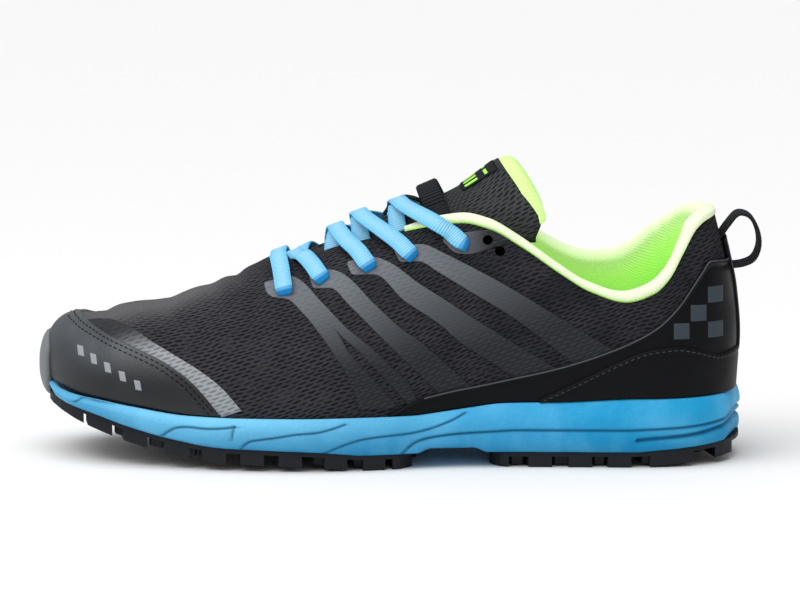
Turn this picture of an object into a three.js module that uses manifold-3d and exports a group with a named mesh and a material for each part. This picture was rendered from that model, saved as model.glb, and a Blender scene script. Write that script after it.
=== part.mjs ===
// A trail running shoe for the left foot: rubber tread plates, foam midsole, hollow fabric upper with
// its overlays, padded collar lining, tongue, insole, flat laces and webbing loops.
// Millimetres, +Z up. The toe points to -X, the outer (lateral) side faces -Y.
// Everything is drawn from the toe tip (x = 0) to the heel (x = soleLength); the group is then
// shifted so that its origin lies under the middle of the shoe, on the floor.
import * as THREE from "three";
import { mergeVertices } from "three/addons/utils/BufferGeometryUtils.js";
import Module from "manifold-3d";

const wasm = await Module();
wasm.setup();

// Sole sizes
const soleLength = 293;
const ballWidth = 107;
const waistWidth = 78;
const heelWidth = 86;
const toeSwing = 9; // how far the toe tip lies towards the medial side
const toeSpring = 25; // lift of the tread under the toe tip
const heelLift = 4; // lift of the tread under the heel's back edge
const lugHeight = 4.4;
const plateThickness = 1.7;
const archLift = 1.9; // how far the bare foam of the waist rises above the plates
const rimHeightHeel = 28.6;
const rimHeightWaist = 22;
const rimHeightToe = 33;
const rimDepth = 6.3; // from the rim down to the footbed
const rimThickness = 1.3;
const rimInset = 2.3; // the rim's outer edge, in from the widest line of the sole
const footbedInset = 4.4; // wall of the foam cup at the footbed
const bottomInset = 2.6;
const heelEndInset = 0.8; // the same at the heel's back end, where the sole stands upright
const grooveDepth = 1.1;
const insoleThickness = 4.2;

// Upper sizes
const upperWall = 2.6;
const toeBoxHeight = 57.2;
const throatHeight = 82.5;
const collarFrontHeight = 99.4;
const collarDipHeight = 67.6;
const medialCollarRise = 15; // the inner side of the collar over the outer side, where it climbs to the heel
const heelHeight = 100;
const throatStation = 0.335; // front of the lace opening, as a share of the upper's length
const throatRound = 0.05; // length of the opening's round front, as a share of the length
const domeReach = 0.12; // how far the vamp's dome runs on beside the opening
const throatHalf = 16; // half the gap between the eyestays at the third eyelet
const collarHalf = 35.5;
const sideBulge = 3.4;
const heelLean = 11.5; // how far forward the top of the heel lies
const toeWallHeight = 13; // upright front of the toe box

// Overlays, lining and tongue
const overlayThickness = 1;
const stripeThickness = 0.5;
const counterThickness = 1.2;
const backstayHalf = 6;
const seat = 0.4; // clearance between curved layers
const gap = 0.3; // clearance elsewhere
const liningPad = 6.2;
const liningRoll = 5.4; // height of the rolled collar edge above the fabric's edge
const liningStart = 0.55;
const liningDepth = 0.4; // the lining's lower edge, as a share of the wall's height
const tongueThickness = 5.4;
const tongueHalf = 21.5;
const tongueTopHeight = 124.2;
const tongueLength = 122;
const keeperWidth = 11;
const keeperStation = 0.561;
const keeperSlack = 5.6;
const webbing = 1.4;
const pullLoopWidth = 12;
const laceWidth = 6.6;
const laceThickness = 1.5;
const laceLift = 2.1; // a lace over the stripes, above the fabric
const eyeletRadius = 2.2;
const bumperThickness = 1.3;
const bumperReach = 0.009; // how far back the toe bumper's ends lie, as a share of the length

const lateral = -1;
const medial = 1;
const mix = (a, b, share) => a + (b - a) * share;
const clamp = (v, low, high) => Math.min(high, Math.max(low, v));
const smoothStep = (v) => {
  const u = clamp(v, 0, 1);
  return u * u * (3 - 2 * u);
};

// A smooth curve through a table's rows that never overshoots them.
function curve(rows, column, along = "station") {
  const x = rows.map((row) => row[along]);
  const y = rows.map((row) => row[column]);
  const slope = x.slice(1).map((_, i) => (y[i + 1] - y[i]) / (x[i + 1] - x[i]));
  const tangent = x.map((_, i) => {
    if (i === 0) return slope[0];
    if (i === x.length - 1) return slope[i - 1];
    const product = slope[i - 1] * slope[i];
    return product <= 0 ? 0 : (2 * product) / (slope[i - 1] + slope[i]);
  });
  return (at) => {
    const u = clamp(at, x[0], x[x.length - 1]);
    let i = 0;
    while (i < x.length - 2 && u > x[i + 1]) i++;
    const h = x[i + 1] - x[i];
    const f = (u - x[i]) / h;
    const g = 1 - f;
    return (
      y[i] * (1 + 2 * f) * g * g +
      tangent[i] * h * f * g * g +
      y[i + 1] * (3 - 2 * f) * f * f -
      tangent[i + 1] * h * f * f * g
    );
  };
}

// Half widths of the sole either side of the axis, before its ends are rounded.
const soleSections = [
  { station: 0.0, outer: 0.36 * ballWidth, inner: 0.335 * ballWidth, swing: 1.0 * toeSwing },
  { station: 0.05, outer: 0.375 * ballWidth, inner: 0.345 * ballWidth, swing: 0.83 * toeSwing },
  { station: 0.13, outer: 0.415 * ballWidth, inner: 0.39 * ballWidth, swing: 0.5 * toeSwing },
  { station: 0.2, outer: 0.45 * ballWidth, inner: 0.44 * ballWidth, swing: 0.22 * toeSwing },
  { station: 0.28, outer: 0.486 * ballWidth, inner: 0.486 * ballWidth, swing: 0 },
  { station: 0.37, outer: 0.505 * ballWidth, inner: 0.477 * ballWidth, swing: 0 },
  { station: 0.47, outer: 0.468 * ballWidth, inner: 0.4 * ballWidth, swing: 0 },
  { station: 0.56, outer: 0.56 * waistWidth, inner: 0.468 * waistWidth, swing: 0 },
  { station: 0.64, outer: 0.532 * waistWidth, inner: 0.474 * waistWidth, swing: 0 },
  { station: 0.74, outer: 0.49 * heelWidth, inner: 0.477 * heelWidth, swing: 0 },
  { station: 0.84, outer: 0.5 * heelWidth, inner: 0.5 * heelWidth, swing: 0 },
  { station: 1.0, outer: 0.475 * heelWidth, inner: 0.475 * heelWidth, swing: 0 },
];
const outerHalf = curve(soleSections, "outer");
const innerHalf = curve(soleSections, "inner");
const swing = curve(soleSections, "swing");
const toeRound = { reach: 0.13, power: 2.3 };
const heelRound = { reach: 0.13, power: 2.3 };

// 1 along the shoe, falling to 0 at both tips as a superellipse does.
function tipRound(s) {
  const toe = clamp(1 - s / toeRound.reach, 0, 1);
  const heel = clamp(1 - (1 - s) / heelRound.reach, 0, 1);
  return (
    (1 - toe ** toeRound.power) ** (1 / toeRound.power) *
    (1 - heel ** heelRound.power) ** (1 / heelRound.power)
  );
}

// A point of the sole's plan outline, moved in by inset, and by tail at the heel's back end.
function outline(side, s, inset, tail = inset) {
  const half = (side === lateral ? outerHalf(s) : innerHalf(s)) - inset;
  return [inset + (soleLength - inset - tail) * s, swing(s) + side * half * tipRound(s)];
}

// Heights along the sole, each against the share of the sole's length.
const groundLine = [
  { station: 0.0, lift: 1.0 * toeSpring },
  { station: 0.03, lift: 0.84 * toeSpring },
  { station: 0.06, lift: 0.69 * toeSpring },
  { station: 0.1, lift: 0.53 * toeSpring },
  { station: 0.15, lift: 0.36 * toeSpring },
  { station: 0.2, lift: 0.23 * toeSpring },
  { station: 0.26, lift: 0.13 * toeSpring },
  { station: 0.33, lift: 0.1 * toeSpring },
  { station: 0.39, lift: 0.075 * toeSpring },
  { station: 0.435, lift: 0.03 * toeSpring },
  { station: 0.463, lift: 0 },
  { station: 0.84, lift: 0 },
  { station: 0.88, lift: 0.22 * heelLift },
  { station: 0.93, lift: 0.48 * heelLift },
  { station: 0.97, lift: 0.72 * heelLift },
  { station: 1.0, lift: 1.0 * heelLift },
];
const rimLine = [
  { station: 0.0, height: rimHeightToe },
  { station: 0.05, height: mix(rimHeightWaist, rimHeightToe, 0.57) },
  { station: 0.1, height: mix(rimHeightWaist, rimHeightToe, 0.42) },
  { station: 0.14, height: mix(rimHeightWaist, rimHeightToe, 0.27) },
  { station: 0.22, height: mix(rimHeightWaist, rimHeightToe, 0.03) },
  { station: 0.3, height: rimHeightWaist },
  { station: 0.53, height: rimHeightWaist },
  { station: 0.57, height: mix(rimHeightWaist, rimHeightHeel, 0.18) },
  { station: 0.61, height: mix(rimHeightWaist, rimHeightHeel, 0.42) },
  { station: 0.66, height: mix(rimHeightWaist, rimHeightHeel, 0.7) },
  { station: 0.74, height: mix(rimHeightWaist, rimHeightHeel, 0.78) },
  { station: 0.85, height: rimHeightHeel },
  { station: 1.0, height: rimHeightHeel },
];
const ground = curve(groundLine, "lift");
const rim = curve(rimLine, "height");
const forefootPlateEnd = 0.538;
const heelPlateStart = 0.637;
const groundAt = (x) => ground(x / soleLength);
const rimAt = (x) => rim(x / soleLength);
const treadHeight = gap + plateThickness + lugHeight;
const treadTaper = (s) => mix(0.56, 1, smoothStep(s / 0.1)); // the tread thins out towards the toe tip
const treadAt = (x) => treadHeight * treadTaper(x / soleLength);
const footbedAt = (x) => rimAt(x) - rimDepth * mix(0.3, 1, smoothStep(x / soleLength / 0.12));

// Underside of the foam: over the plates it follows the tread, at the waist it arches up.
function foamBottomAt(x) {
  const s = x / soleLength;
  const ramp = 0.02;
  const arch = smoothStep((s - forefootPlateEnd) / ramp) * smoothStep((heelPlateStart - s) / ramp);
  return groundAt(x) + treadAt(x) + archLift * arch;
}

// Stations along the shoe, closer together at both tips and at the front of the lace opening.
const stationCount = 24;
const throatSteps = [0, 0.004, 0.014, 0.032];
const evenStations = Array.from(
  { length: stationCount + 1 },
  (_, i) => (1 - Math.cos((Math.PI * i) / stationCount)) / 2,
);
const throatStations = throatSteps.map((step) => throatStation + step);
const stations = [...evenStations, ...throatStations]
  .filter((s, i) => i > stationCount || throatStations.every((u) => Math.abs(s - u) > 0.011))
  .sort((a, b) => a - b);

// A station and side as one number: 0 at the toe, 1 at the heel by the lateral side, 2 at the toe again.
const ringOf = (side, s) => {
  const r = Math.acos(1 - 2 * clamp(s, 0, 1)) / Math.PI;
  return side === lateral ? r : 2 - r;
};
const stationOf = (r) => (1 - Math.cos(Math.PI * r)) / 2;
const sideOf = (r) => (((r % 2) + 2) % 2 <= 1 ? lateral : medial);
const fullRing = [
  ...stations.map((s) => ringOf(lateral, s)),
  ...stations.slice(1, -1).reverse().map((s) => ringOf(medial, s)),
];

// Closed solids from loose triangles: shared corners are merged and the faces turned outwards.
function solidOf(triangles) {
  const geometry = new THREE.BufferGeometry();
  geometry.setAttribute("position", new THREE.Float32BufferAttribute(triangles.flat(2), 3));
  return manifoldOf(geometry);
}

function manifoldOf(source) {
  const plain = source.index ? source.toNonIndexed() : source.clone();
  const bare = new THREE.BufferGeometry().setAttribute("position", plain.getAttribute("position"));
  const merged = mergeVertices(bare, 1e-4);
  const corners = merged.index.array;
  const kept = [];
  for (let i = 0; i < corners.length; i += 3) {
    const [a, b, c] = [corners[i], corners[i + 1], corners[i + 2]];
    if (a !== b && b !== c && c !== a) kept.push(a, b, c);
  }
  const build = (order) =>
    new wasm.Manifold(
      new wasm.Mesh({
        numProp: 3,
        vertProperties: merged.attributes.position.array,
        triVerts: new Uint32Array(order),
      }),
    );
  const made = build(kept);
  if (made.volume() > 0) return made;
  const turned = [];
  for (let i = 0; i < kept.length; i += 3) turned.push(kept[i], kept[i + 2], kept[i + 1]);
  return build(turned);
}

function geometryOf(solid) {
  const mesh = solid.getMesh();
  const geometry = new THREE.BufferGeometry();
  geometry.setAttribute("position", new THREE.BufferAttribute(mesh.vertProperties, 3));
  geometry.setIndex(new THREE.BufferAttribute(mesh.triVerts, 1));
  geometry.computeVertexNormals();
  return geometry;
}

const quad = (a, b, c, d) => [
  [a, b, c],
  [a, c, d],
];

// A solid through closed loops of points, one loop after another, with both ends capped by a fan of
// quads that joins point k to point n - k.
function loftLoops(loops, capped) {
  const faces = [];
  const n = loops[0].length;
  const last = loops.length - 1;
  for (let i = 0; i < last; i++) {
    for (let k = 0; k < n; k++) {
      const m = (k + 1) % n;
      faces.push(...quad(loops[i][k], loops[i][m], loops[i + 1][m], loops[i + 1][k]));
    }
  }
  if (capped) {
    for (let k = 0; k < n / 2 - 1; k++) {
      const far = n - 1 - k;
      faces.push(...quad(loops[0][k + 1], loops[0][k], loops[0][far], loops[0][far - 1]));
      faces.push(...quad(loops[last][k], loops[last][k + 1], loops[last][far - 1], loops[last][far]));
    }
  }
  return solidOf(faces);
}

// A plan-view ring of the sole at one level, and the ladder of faces that closes it.
function soleRing(inset, height, tail) {
  return fullRing.map((r) => {
    const [x, y] = outline(sideOf(r), stationOf(r), typeof inset === "function" ? inset(r) : inset, tail);
    return [x, y, height(x, r)];
  });
}

function stackRings(rings) {
  const faces = [];
  const n = rings[0].length;
  for (let level = 0; level < rings.length - 1; level++) {
    for (let k = 0; k < n; k++) {
      const m = (k + 1) % n;
      faces.push(...quad(rings[level][k], rings[level][m], rings[level + 1][m], rings[level + 1][k]));
    }
  }
  for (const [ring, turned] of [
    [rings[0], true],
    [rings[rings.length - 1], false],
  ]) {
    for (let k = 0; k < n / 2; k++) {
      const far = (n - k) % n;
      const next = (n - k - 1) % n;
      const face = quad(ring[k], ring[k + 1], ring[next], ring[far]);
      faces.push(...(turned ? face.map((t) => [t[0], t[2], t[1]]) : face));
    }
  }
  return solidOf(faces);
}

// The foam midsole: its side bulges, steps in under a long groove at the heel half, and ends in a
// thin rim that cups the upper.
function sideHeight(share) {
  return (x) => mix(foamBottomAt(x), rimAt(x), share);
}
const sideRows = [
  { share: 0, inset: bottomInset },
  { share: 0.14, inset: 0.26 * bottomInset },
  { share: 0.4, inset: 0.08 * bottomInset },
  { share: 0.6, inset: 0.05 * bottomInset },
  { share: 0.76, inset: 0.2 * bottomInset },
  { share: 1, inset: 0.8 * bottomInset },
];
const sideInset = curve(sideRows, "inset", "share");
const grooveShare = (x) => mix(0.5, 0.36, smoothStep((x / soleLength - 0.86) / 0.14));
const grooveReach = (x) => smoothStep((x / soleLength - 0.545) / 0.03);
const grooveHalf = 0.045; // half height of the groove, as a share of the side's height

function makeMidsole() {
  const stepAt = (share) => (x) => mix(foamBottomAt(x), rimAt(x), grooveShare(x) + share);
  const cut = (base) => (r) => {
    const x = stationOf(r) * soleLength;
    return base + grooveDepth * grooveReach(x);
  };
  return stackRings([
    soleRing(bottomInset, foamBottomAt, heelEndInset),
    soleRing(sideInset(0.14), sideHeight(0.14), 0.4 * heelEndInset),
    soleRing(sideInset(0.4), stepAt(-0.06)),
    soleRing(cut(sideInset(0.45)), stepAt(0)),
    soleRing(sideInset(0.6), stepAt(0.05)),
    soleRing(sideInset(0.76), sideHeight(0.76)),
    soleRing(rimInset, (x) => rimAt(x) - 0.7, 0.7 * rimInset),
    soleRing(rimInset + rimThickness / 2, rimAt),
    soleRing(rimInset + rimThickness, (x) => rimAt(x) - 0.5),
    soleRing(footbedInset, footbedAt),
  ]);
}

// Raised wave lines moulded into the foam's side, each from the bottom edge up to the rear.
const waves = [
  { start: 0.075, length: 0.075, rise: 0.3 },
  { start: 0.19, length: 0.115, rise: 0.62 },
  { start: 0.295, length: 0.15, rise: 0.68 },
  { start: 0.385, length: 0.185, rise: 0.8 },
  { start: 0.488, length: 0.13, rise: 0.42 },
];
const waveRadius = 0.8;
const waveProud = 0.4; // how far the lines' centres lie outside the foam's side

function waveTool(side, wave) {
  const steps = 6;
  const points = Array.from({ length: steps + 1 }, (_, i) => {
    const f = i / steps;
    const s = wave.start + wave.length * f;
    const up = wave.rise * (0.12 + 0.88 * (0.55 * Math.sqrt(f) + 0.45 * smoothStep(f * f)));
    const [x, y] = outline(side, s, sideInset(up) - waveProud);
    return new THREE.Vector3(x, y, mix(foamBottomAt(x), rimAt(x), up));
  });
  const path = new THREE.CatmullRomCurve3(points);
  const shape = new THREE.Shape();
  shape.absarc(0, 0, waveRadius, 0, 2 * Math.PI);
  return manifoldOf(
    new THREE.ExtrudeGeometry(shape, { steps: 6, extrudePath: path, curveSegments: 2, bevelEnabled: false }),
  );
}

// Upright prism over a plan shape, and a prism across the shoe over a side-view shape.
function planPrism(points, low, high) {
  const shape = new THREE.Shape(points.map(([x, y]) => new THREE.Vector2(x, y)));
  const geometry = new THREE.ExtrudeGeometry(shape, { depth: high - low, bevelEnabled: false });
  return manifoldOf(geometry.translate(0, 0, low));
}

function sidePrism(points, half) {
  const shape = new THREE.Shape(points.map(([x, z]) => new THREE.Vector2(x, z)));
  const geometry = new THREE.ExtrudeGeometry(shape, { depth: 2 * half, bevelEnabled: false });
  return manifoldOf(geometry.rotateX(Math.PI / 2).translate(0, half, 0));
}

// Tread: a plate and its lugs, both following the foam's underside from station to station.
const plateInset = 3.4;
const treadStep = 0.02;
function treadBand(from, to, topDrop, bottomDrop) {
  const count = Math.round((to - from) / treadStep);
  const xs = Array.from({ length: count + 1 }, (_, i) => soleLength * mix(from, to, i / count));
  const level = (x, drop) => groundAt(x) + treadAt(x) - drop * treadTaper(x / soleLength);
  const top = xs.map((x) => [x, level(x, topDrop)]);
  const bottom = xs.map((x) => [x, level(x, bottomDrop)]).reverse();
  return sidePrism([...top, ...bottom], ballWidth);
}

function planOutline(from, to, inset, cornerReach) {
  const count = 22;
  const edge = (side) =>
    Array.from({ length: count + 1 }, (_, i) => {
      const share = (1 - Math.cos((Math.PI * i) / count)) / 2;
      const s = mix(from, to, share);
      const [x, y] = outline(side, s, inset, to === 1 ? heelEndInset : inset);
      const nearEnd = Math.min(s - from, to - s) / cornerReach;
      const corner = Math.sqrt(1 - clamp(1 - nearEnd, 0, 1) ** 2);
      const middle = swing(s);
      const squeezed = from > 0 && s - from < cornerReach ? corner : to < 1 && to - s < cornerReach ? corner : 1;
      return [x, mix(middle, y, mix(0.62, 1, squeezed))];
    });
  const near = edge(lateral);
  const far = edge(medial).reverse();
  const pinchedToe = from === 0 ? 1 : 0;
  const pinchedHeel = to === 1 ? 1 : 0;
  return [...near, ...far.slice(pinchedHeel, far.length - pinchedToe)];
}

const lugLength = 9.4;
const lugReach = 13.5;
const lugSweep = 3.6;
const forefootLugs = [0.029, 0.058, 0.1, 0.15, 0.208, 0.261, 0.314, 0.367, 0.43, 0.483, 0.524];
const heelLugs = [0.655, 0.715, 0.771, 0.826, 0.884, 0.914, 0.974];
const chevronHalf = 14;
const chevronArm = 5.4;

function edgeLug(side, s) {
  const x = soleLength * s;
  const [, y] = outline(side, s, 0);
  const inner = y - side * (lugReach + plateInset);
  const half = lugLength / 2;
  return [
    [x - half, y + side * plateInset],
    [x + half, y + side * plateInset],
    [x + half - lugSweep, inner],
    [x - half - lugSweep, inner],
  ];
}

function chevron(s, pointing) {
  const x = soleLength * s;
  const y = swing(s);
  const reach = Math.min(chevronHalf, outerHalf(s) * tipRound(s) - plateInset - lugReach - 4);
  const slope = reach * 0.5 * pointing;
  return [
    [x, y],
    [x + slope, y - reach],
    [x + slope + chevronArm, y - reach],
    [x + chevronArm, y],
    [x + slope + chevronArm, y + reach],
    [x + slope, y + reach],
  ];
}

function makeTread(from, to, rows, pointing) {
  const low = -1;
  const high = toeSpring + treadHeight;
  const overlap = 0.4;
  const plan = planPrism(planOutline(from, to, plateInset, 0.03), low, high);
  const plate = treadBand(from, to, gap, gap + plateThickness).intersect(plan);
  const shapes = rows.flatMap((s) => [edgeLug(lateral, s), edgeLug(medial, s)]);
  rows.slice(1).forEach((s, i) => {
    const between = (s + rows[i]) / 2;
    if (outerHalf(between) * tipRound(between) > plateInset + lugReach + 10) {
      shapes.push(chevron(between, pointing));
    }
  });
  const lugs = shapes.map((points) => planPrism(points, low, high)).reduce((a, b) => a.add(b));
  const band = treadBand(from, to, gap + plateThickness - overlap, treadHeight);
  return plate.add(lugs.intersect(band).intersect(plan));
}

// Top edge of the upper: over the vamp it is the ridge where both sides meet, behind the throat it is
// the eyestay's edge and then the collar's edge.
const topLine = [
  { station: 0.0465, height: toeBoxHeight },
  { station: 0.075, height: mix(toeBoxHeight, throatHeight, 0.02) },
  { station: 0.107, height: mix(toeBoxHeight, throatHeight, 0.145) },
  { station: 0.155, height: mix(toeBoxHeight, throatHeight, 0.24) },
  { station: 0.179, height: mix(toeBoxHeight, throatHeight, 0.265) },
  { station: 0.203, height: mix(toeBoxHeight, throatHeight, 0.39) },
  { station: 0.251, height: mix(toeBoxHeight, throatHeight, 0.56) },
  { station: 0.3, height: mix(toeBoxHeight, throatHeight, 0.8) },
  { station: throatStation, height: throatHeight },
  { station: 0.36, height: mix(throatHeight, collarFrontHeight, 0.13) },
  { station: 0.39, height: mix(throatHeight, collarFrontHeight, 0.24) },
  { station: 0.42, height: mix(throatHeight, collarFrontHeight, 0.32) },
  { station: 0.48, height: mix(throatHeight, collarFrontHeight, 0.52) },
  { station: 0.54, height: mix(throatHeight, collarFrontHeight, 0.76) },
  { station: 0.6, height: mix(throatHeight, collarFrontHeight, 0.97) },
  { station: 0.623, height: collarFrontHeight },
  { station: 0.66, height: mix(collarDipHeight, collarFrontHeight, 0.93) },
  { station: 0.708, height: mix(collarDipHeight, collarFrontHeight, 0.7) },
  { station: 0.767, height: mix(collarDipHeight, collarFrontHeight, 0.35) },
  { station: 0.81, height: mix(collarDipHeight, collarFrontHeight, 0.13) },
  { station: 0.862, height: collarDipHeight },
  { station: 0.904, height: mix(collarDipHeight, heelHeight, 0.1) },
  { station: 0.927, height: mix(collarDipHeight, heelHeight, 0.27) },
  { station: 0.949, height: mix(collarDipHeight, heelHeight, 0.6) },
  { station: 0.968, height: mix(collarDipHeight, heelHeight, 0.87) },
  { station: 0.985, height: mix(collarDipHeight, heelHeight, 0.97) },
  { station: 1.0, height: heelHeight },
];
const topHalfRows = [
  { station: 0.0, half: 0.55 * throatHalf },
  { station: 0.36, half: 0.7 * throatHalf },
  { station: 0.41, half: 0.86 * throatHalf },
  { station: 0.48, half: throatHalf },
  { station: 0.54, half: mix(throatHalf, collarHalf, 0.24) },
  { station: 0.6, half: mix(throatHalf, collarHalf, 0.54) },
  { station: 0.655, half: mix(throatHalf, collarHalf, 0.76) },
  { station: 0.72, half: mix(throatHalf, collarHalf, 0.89) },
  { station: 0.8, half: mix(throatHalf, collarHalf, 0.98) },
  { station: 0.86, half: collarHalf },
  { station: 1.0, half: 0.92 * collarHalf },
];
// Shape of each cross-section: how high the lower handle reaches, how far the top handle reaches out
// and down, all as shares of the section's own height and width.
const sectionRows = [
  { station: 0.0, low: 0.6, out: 0.72, down: 0.0, bulge: 0.5 },
  { station: 0.12, low: 0.55, out: 0.7, down: 0.0, bulge: 0.8 },
  { station: 0.3, low: 0.5, out: 0.6, down: 0.02, bulge: 1.0 },
  { station: 0.4, low: 0.46, out: 0.52, down: 0.1, bulge: 1.0 },
  { station: 0.5, low: 0.44, out: 0.5, down: 0.15, bulge: 0.9 },
  { station: 0.6, low: 0.42, out: 0.42, down: 0.22, bulge: 0.9 },
  { station: 0.7, low: 0.4, out: 0.3, down: 0.3, bulge: 1.0 },
  { station: 0.85, low: 0.38, out: 0.2, down: 0.32, bulge: 0.7 },
  { station: 1.0, low: 0.38, out: 0.2, down: 0.34, bulge: 0.6 },
];
// Front and back outline of the upper against the share of the wall's height.
const tipRows = [
  { level: 0.0, toe: footbedInset + gap, heel: footbedInset + gap },
  { level: 0.15, toe: 3.7, heel: 3.9 },
  { level: 0.35, toe: 3.1, heel: 0.27 * heelLean },
  { level: 0.6, toe: 3.2, heel: 0.4 * heelLean },
  { level: 0.8, toe: 3.6, heel: 0.66 * heelLean },
  { level: 1.0, toe: 4.6, heel: heelLean },
];
// The inner side of the collar climbs to the heel sooner than the outer side.
const medialRows = [
  { station: 0.62, rise: 0 },
  { station: 0.7, rise: 0.09 },
  { station: 0.765, rise: 0.18 },
  { station: 0.814, rise: 0.36 },
  { station: 0.85, rise: 0.59 },
  { station: 0.887, rise: 0.8 },
  { station: 0.916, rise: 0.96 },
  { station: 0.937, rise: 0.72 },
  { station: 0.953, rise: 0.36 },
  { station: 0.97, rise: 0.1 },
  { station: 1.0, rise: 0 },
];
const topHeight = curve(topLine, "height");
const medialRise = curve(medialRows, "rise");
const topHalf = curve(topHalfRows, "half");
const lowHandle = curve(sectionRows, "low");
const outHandle = curve(sectionRows, "out");
const downHandle = curve(sectionRows, "down");
const bulgeShare = curve(sectionRows, "bulge");
const toeInset = curve(tipRows, "toe", "level");
const heelInset = curve(tipRows, "heel", "level");
const toeTopReach = 0.0465;

const bezier = (a, b, c, d, t) => {
  const u = 1 - t;
  return u * u * u * a + 3 * u * u * t * b + 3 * u * t * t * c + t * t * t * d;
};

const footbedHeight = (x) => footbedAt(x) + gap;

// Height of the upper's top edge on one side.
function edgeHeight(side, s) {
  const rise = side === medial ? medialCollarRise * medialRise(s) : 0;
  const front = clamp(1 - s / toeTopReach, 0, 1);
  const start = footbedHeight(0) + toeWallHeight;
  return mix(start, topHeight(s), Math.sqrt(1 - front * front)) + rise;
}

// Half width of the opening at the top edge: nothing over the vamp, a round front at the throat.
function edgeHalf(s) {
  const front = clamp((s - throatStation) / throatRound, 0, 1);
  const heel = clamp(1 - (1 - s) / (heelRound.reach * 1.1), 0, 1);
  const heelFactor = (1 - heel ** heelRound.power) ** (1 / heelRound.power);
  return topHalf(s) * Math.sqrt(1 - (1 - front) ** 2) * heelFactor;
}

// The dome of the vamp runs on past the front of the opening, which is cut out of it: this is the
// share of each section that is left below the opening's edge.
function sectionEnd(s) {
  if (s <= throatStation || s >= throatStation + domeReach) return 1;
  const wanted = edgeHalf(s);
  let low = 0.5;
  let high = 1;
  for (let i = 0; i < 22; i++) {
    const middle = (low + high) / 2;
    if (sectionPoint(lateral, s, middle).half > wanted) low = middle;
    else high = middle;
  }
  return high;
}

// At the collar the top handle shrinks, so that the wall stays upright there.
const handleFade = (s) => mix(1, 0.32, smoothStep((s - 0.5) / 0.22));

// One section of the upper at level t: half width and height.
function sectionPoint(side, s, t) {
  const x = toeInset(t) + (soleLength - heelInset(t) - toeInset(t)) * s;
  const round = tipRound(s);
  const base = (side === lateral ? outerHalf(s) : innerHalf(s)) - footbedInset - gap;
  const bulge = sideBulge * bulgeShare(s);
  const opened = smoothStep((s - throatStation) / domeReach);
  const topBase = (edgeHalf(s) * opened) / Math.max(round, 1e-6);
  const out = topBase + outHandle(s) * base * handleFade(s);
  const half = bezier(base, base + bulge, out, topBase, t) * round;
  const low = footbedHeight(x);
  const high = edgeHeight(side, s);
  const rise = high - low;
  const height = bezier(low, low + lowHandle(s) * rise, high - downHandle(s) * rise, high, t);
  return { x, half, height };
}

// A point of the upper's outer face: s runs from toe to heel, t from the footbed up to the top edge.
const sectionEnds = curve(
  Array.from({ length: 61 }, (_, i) => {
    const station = throatStation + (domeReach * i) / 60;
    return { station, end: sectionEnd(station) };
  }),
  "end",
);
function skinPoint(side, s, t) {
  const { x, half, height } = sectionPoint(side, s, t * sectionEnds(s));
  return new THREE.Vector3(x, swing(s) + side * half, height);
}

function skinAtRing(r, t) {
  return skinPoint(sideOf(r), stationOf(r), t);
}

function rawNormal(r, t) {
  const step = 0.002;
  const along = skinAtRing(r + step, t).sub(skinAtRing(r - step, t));
  const up = skinAtRing(r, Math.min(1, t + step)).sub(skinAtRing(r, Math.max(0, t - step)));
  return along.cross(up).normalize();
}

// The outward normal; on the vamp's ridge both sides share one.
function skinNormal(r, t) {
  const normal = rawNormal(r, t);
  const s = stationOf(r);
  if (s <= 1e-9 || s >= 1 - 1e-9) normal.y = 0;
  if (t > 1 - 1e-6 && s <= throatStation + 1e-9) normal.add(rawNormal(2 - r, t));
  return normal.normalize();
}

function skin(r, t, offset) {
  return skinAtRing(r, t).addScaledVector(skinNormal(r, t), offset);
}

// Direction in which the wall leaves its top edge.
function edgeUp(r) {
  return skinAtRing(r, 1).sub(skinAtRing(r, 0.96)).normalize();
}

// The level t at which one station of the skin reaches a height.
function levelAt(side, s, z) {
  let low = 0;
  let high = 1;
  for (let i = 0; i < 24; i++) {
    const middle = (low + high) / 2;
    if (skinPoint(side, s, middle).z < z) low = middle;
    else high = middle;
  }
  return (low + high) / 2;
}

// Station and level of the skin point that shows at x, z from the side.
function locate(side, x, z) {
  let s = x / soleLength;
  let t = 0.5;
  for (let i = 0; i < 5; i++) {
    t = levelAt(side, s, z);
    s = clamp((x - toeInset(t)) / (soleLength - heelInset(t) - toeInset(t)), 0, 1);
  }
  return { s, t, r: ringOf(side, s) };
}

// A sheet of the skin between two offsets. rings lists its stations in order, low and high give its
// edges as levels, and a pinched station is one where both sides meet on the ridge.
function sheet({ rings, low, high, rows, inner, outer, loop = false, levels }) {
  const shares = levels ?? Array.from({ length: rows + 1 }, (_, j) => j / rows);
  const outside = rings.map((r) => shares.map((f) => skin(r, mix(low(r), high(r), f), outer(r)).toArray()));
  const inside = rings.map((r) => shares.map((f) => skin(r, mix(low(r), high(r), f), inner(r)).toArray()));
  const top = shares.length - 1;
  const pinched = rings.map((r) => high(r) > 1 - 1e-6 && stationOf(r) <= throatStation + 1e-9);
  const faces = [];
  const count = loop ? rings.length : rings.length - 1;
  for (let i = 0; i < count; i++) {
    const k = (i + 1) % rings.length;
    for (let j = 0; j < top; j++) {
      faces.push(...quad(outside[i][j], outside[k][j], outside[k][j + 1], outside[i][j + 1]));
      faces.push(...quad(inside[i][j], inside[i][j + 1], inside[k][j + 1], inside[k][j]));
    }
    faces.push(...quad(inside[i][0], inside[k][0], outside[k][0], outside[i][0]));
    if (!(pinched[i] && pinched[k])) {
      faces.push(...quad(outside[i][top], outside[k][top], inside[k][top], inside[i][top]));
    }
  }
  if (!loop) {
    const last = rings.length - 1;
    for (let j = 0; j < top; j++) {
      faces.push(...quad(inside[0][j], outside[0][j], outside[0][j + 1], inside[0][j + 1]));
      faces.push(...quad(outside[last][j], inside[last][j], inside[last][j + 1], outside[last][j + 1]));
    }
  }
  return solidOf(faces);
}

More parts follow.
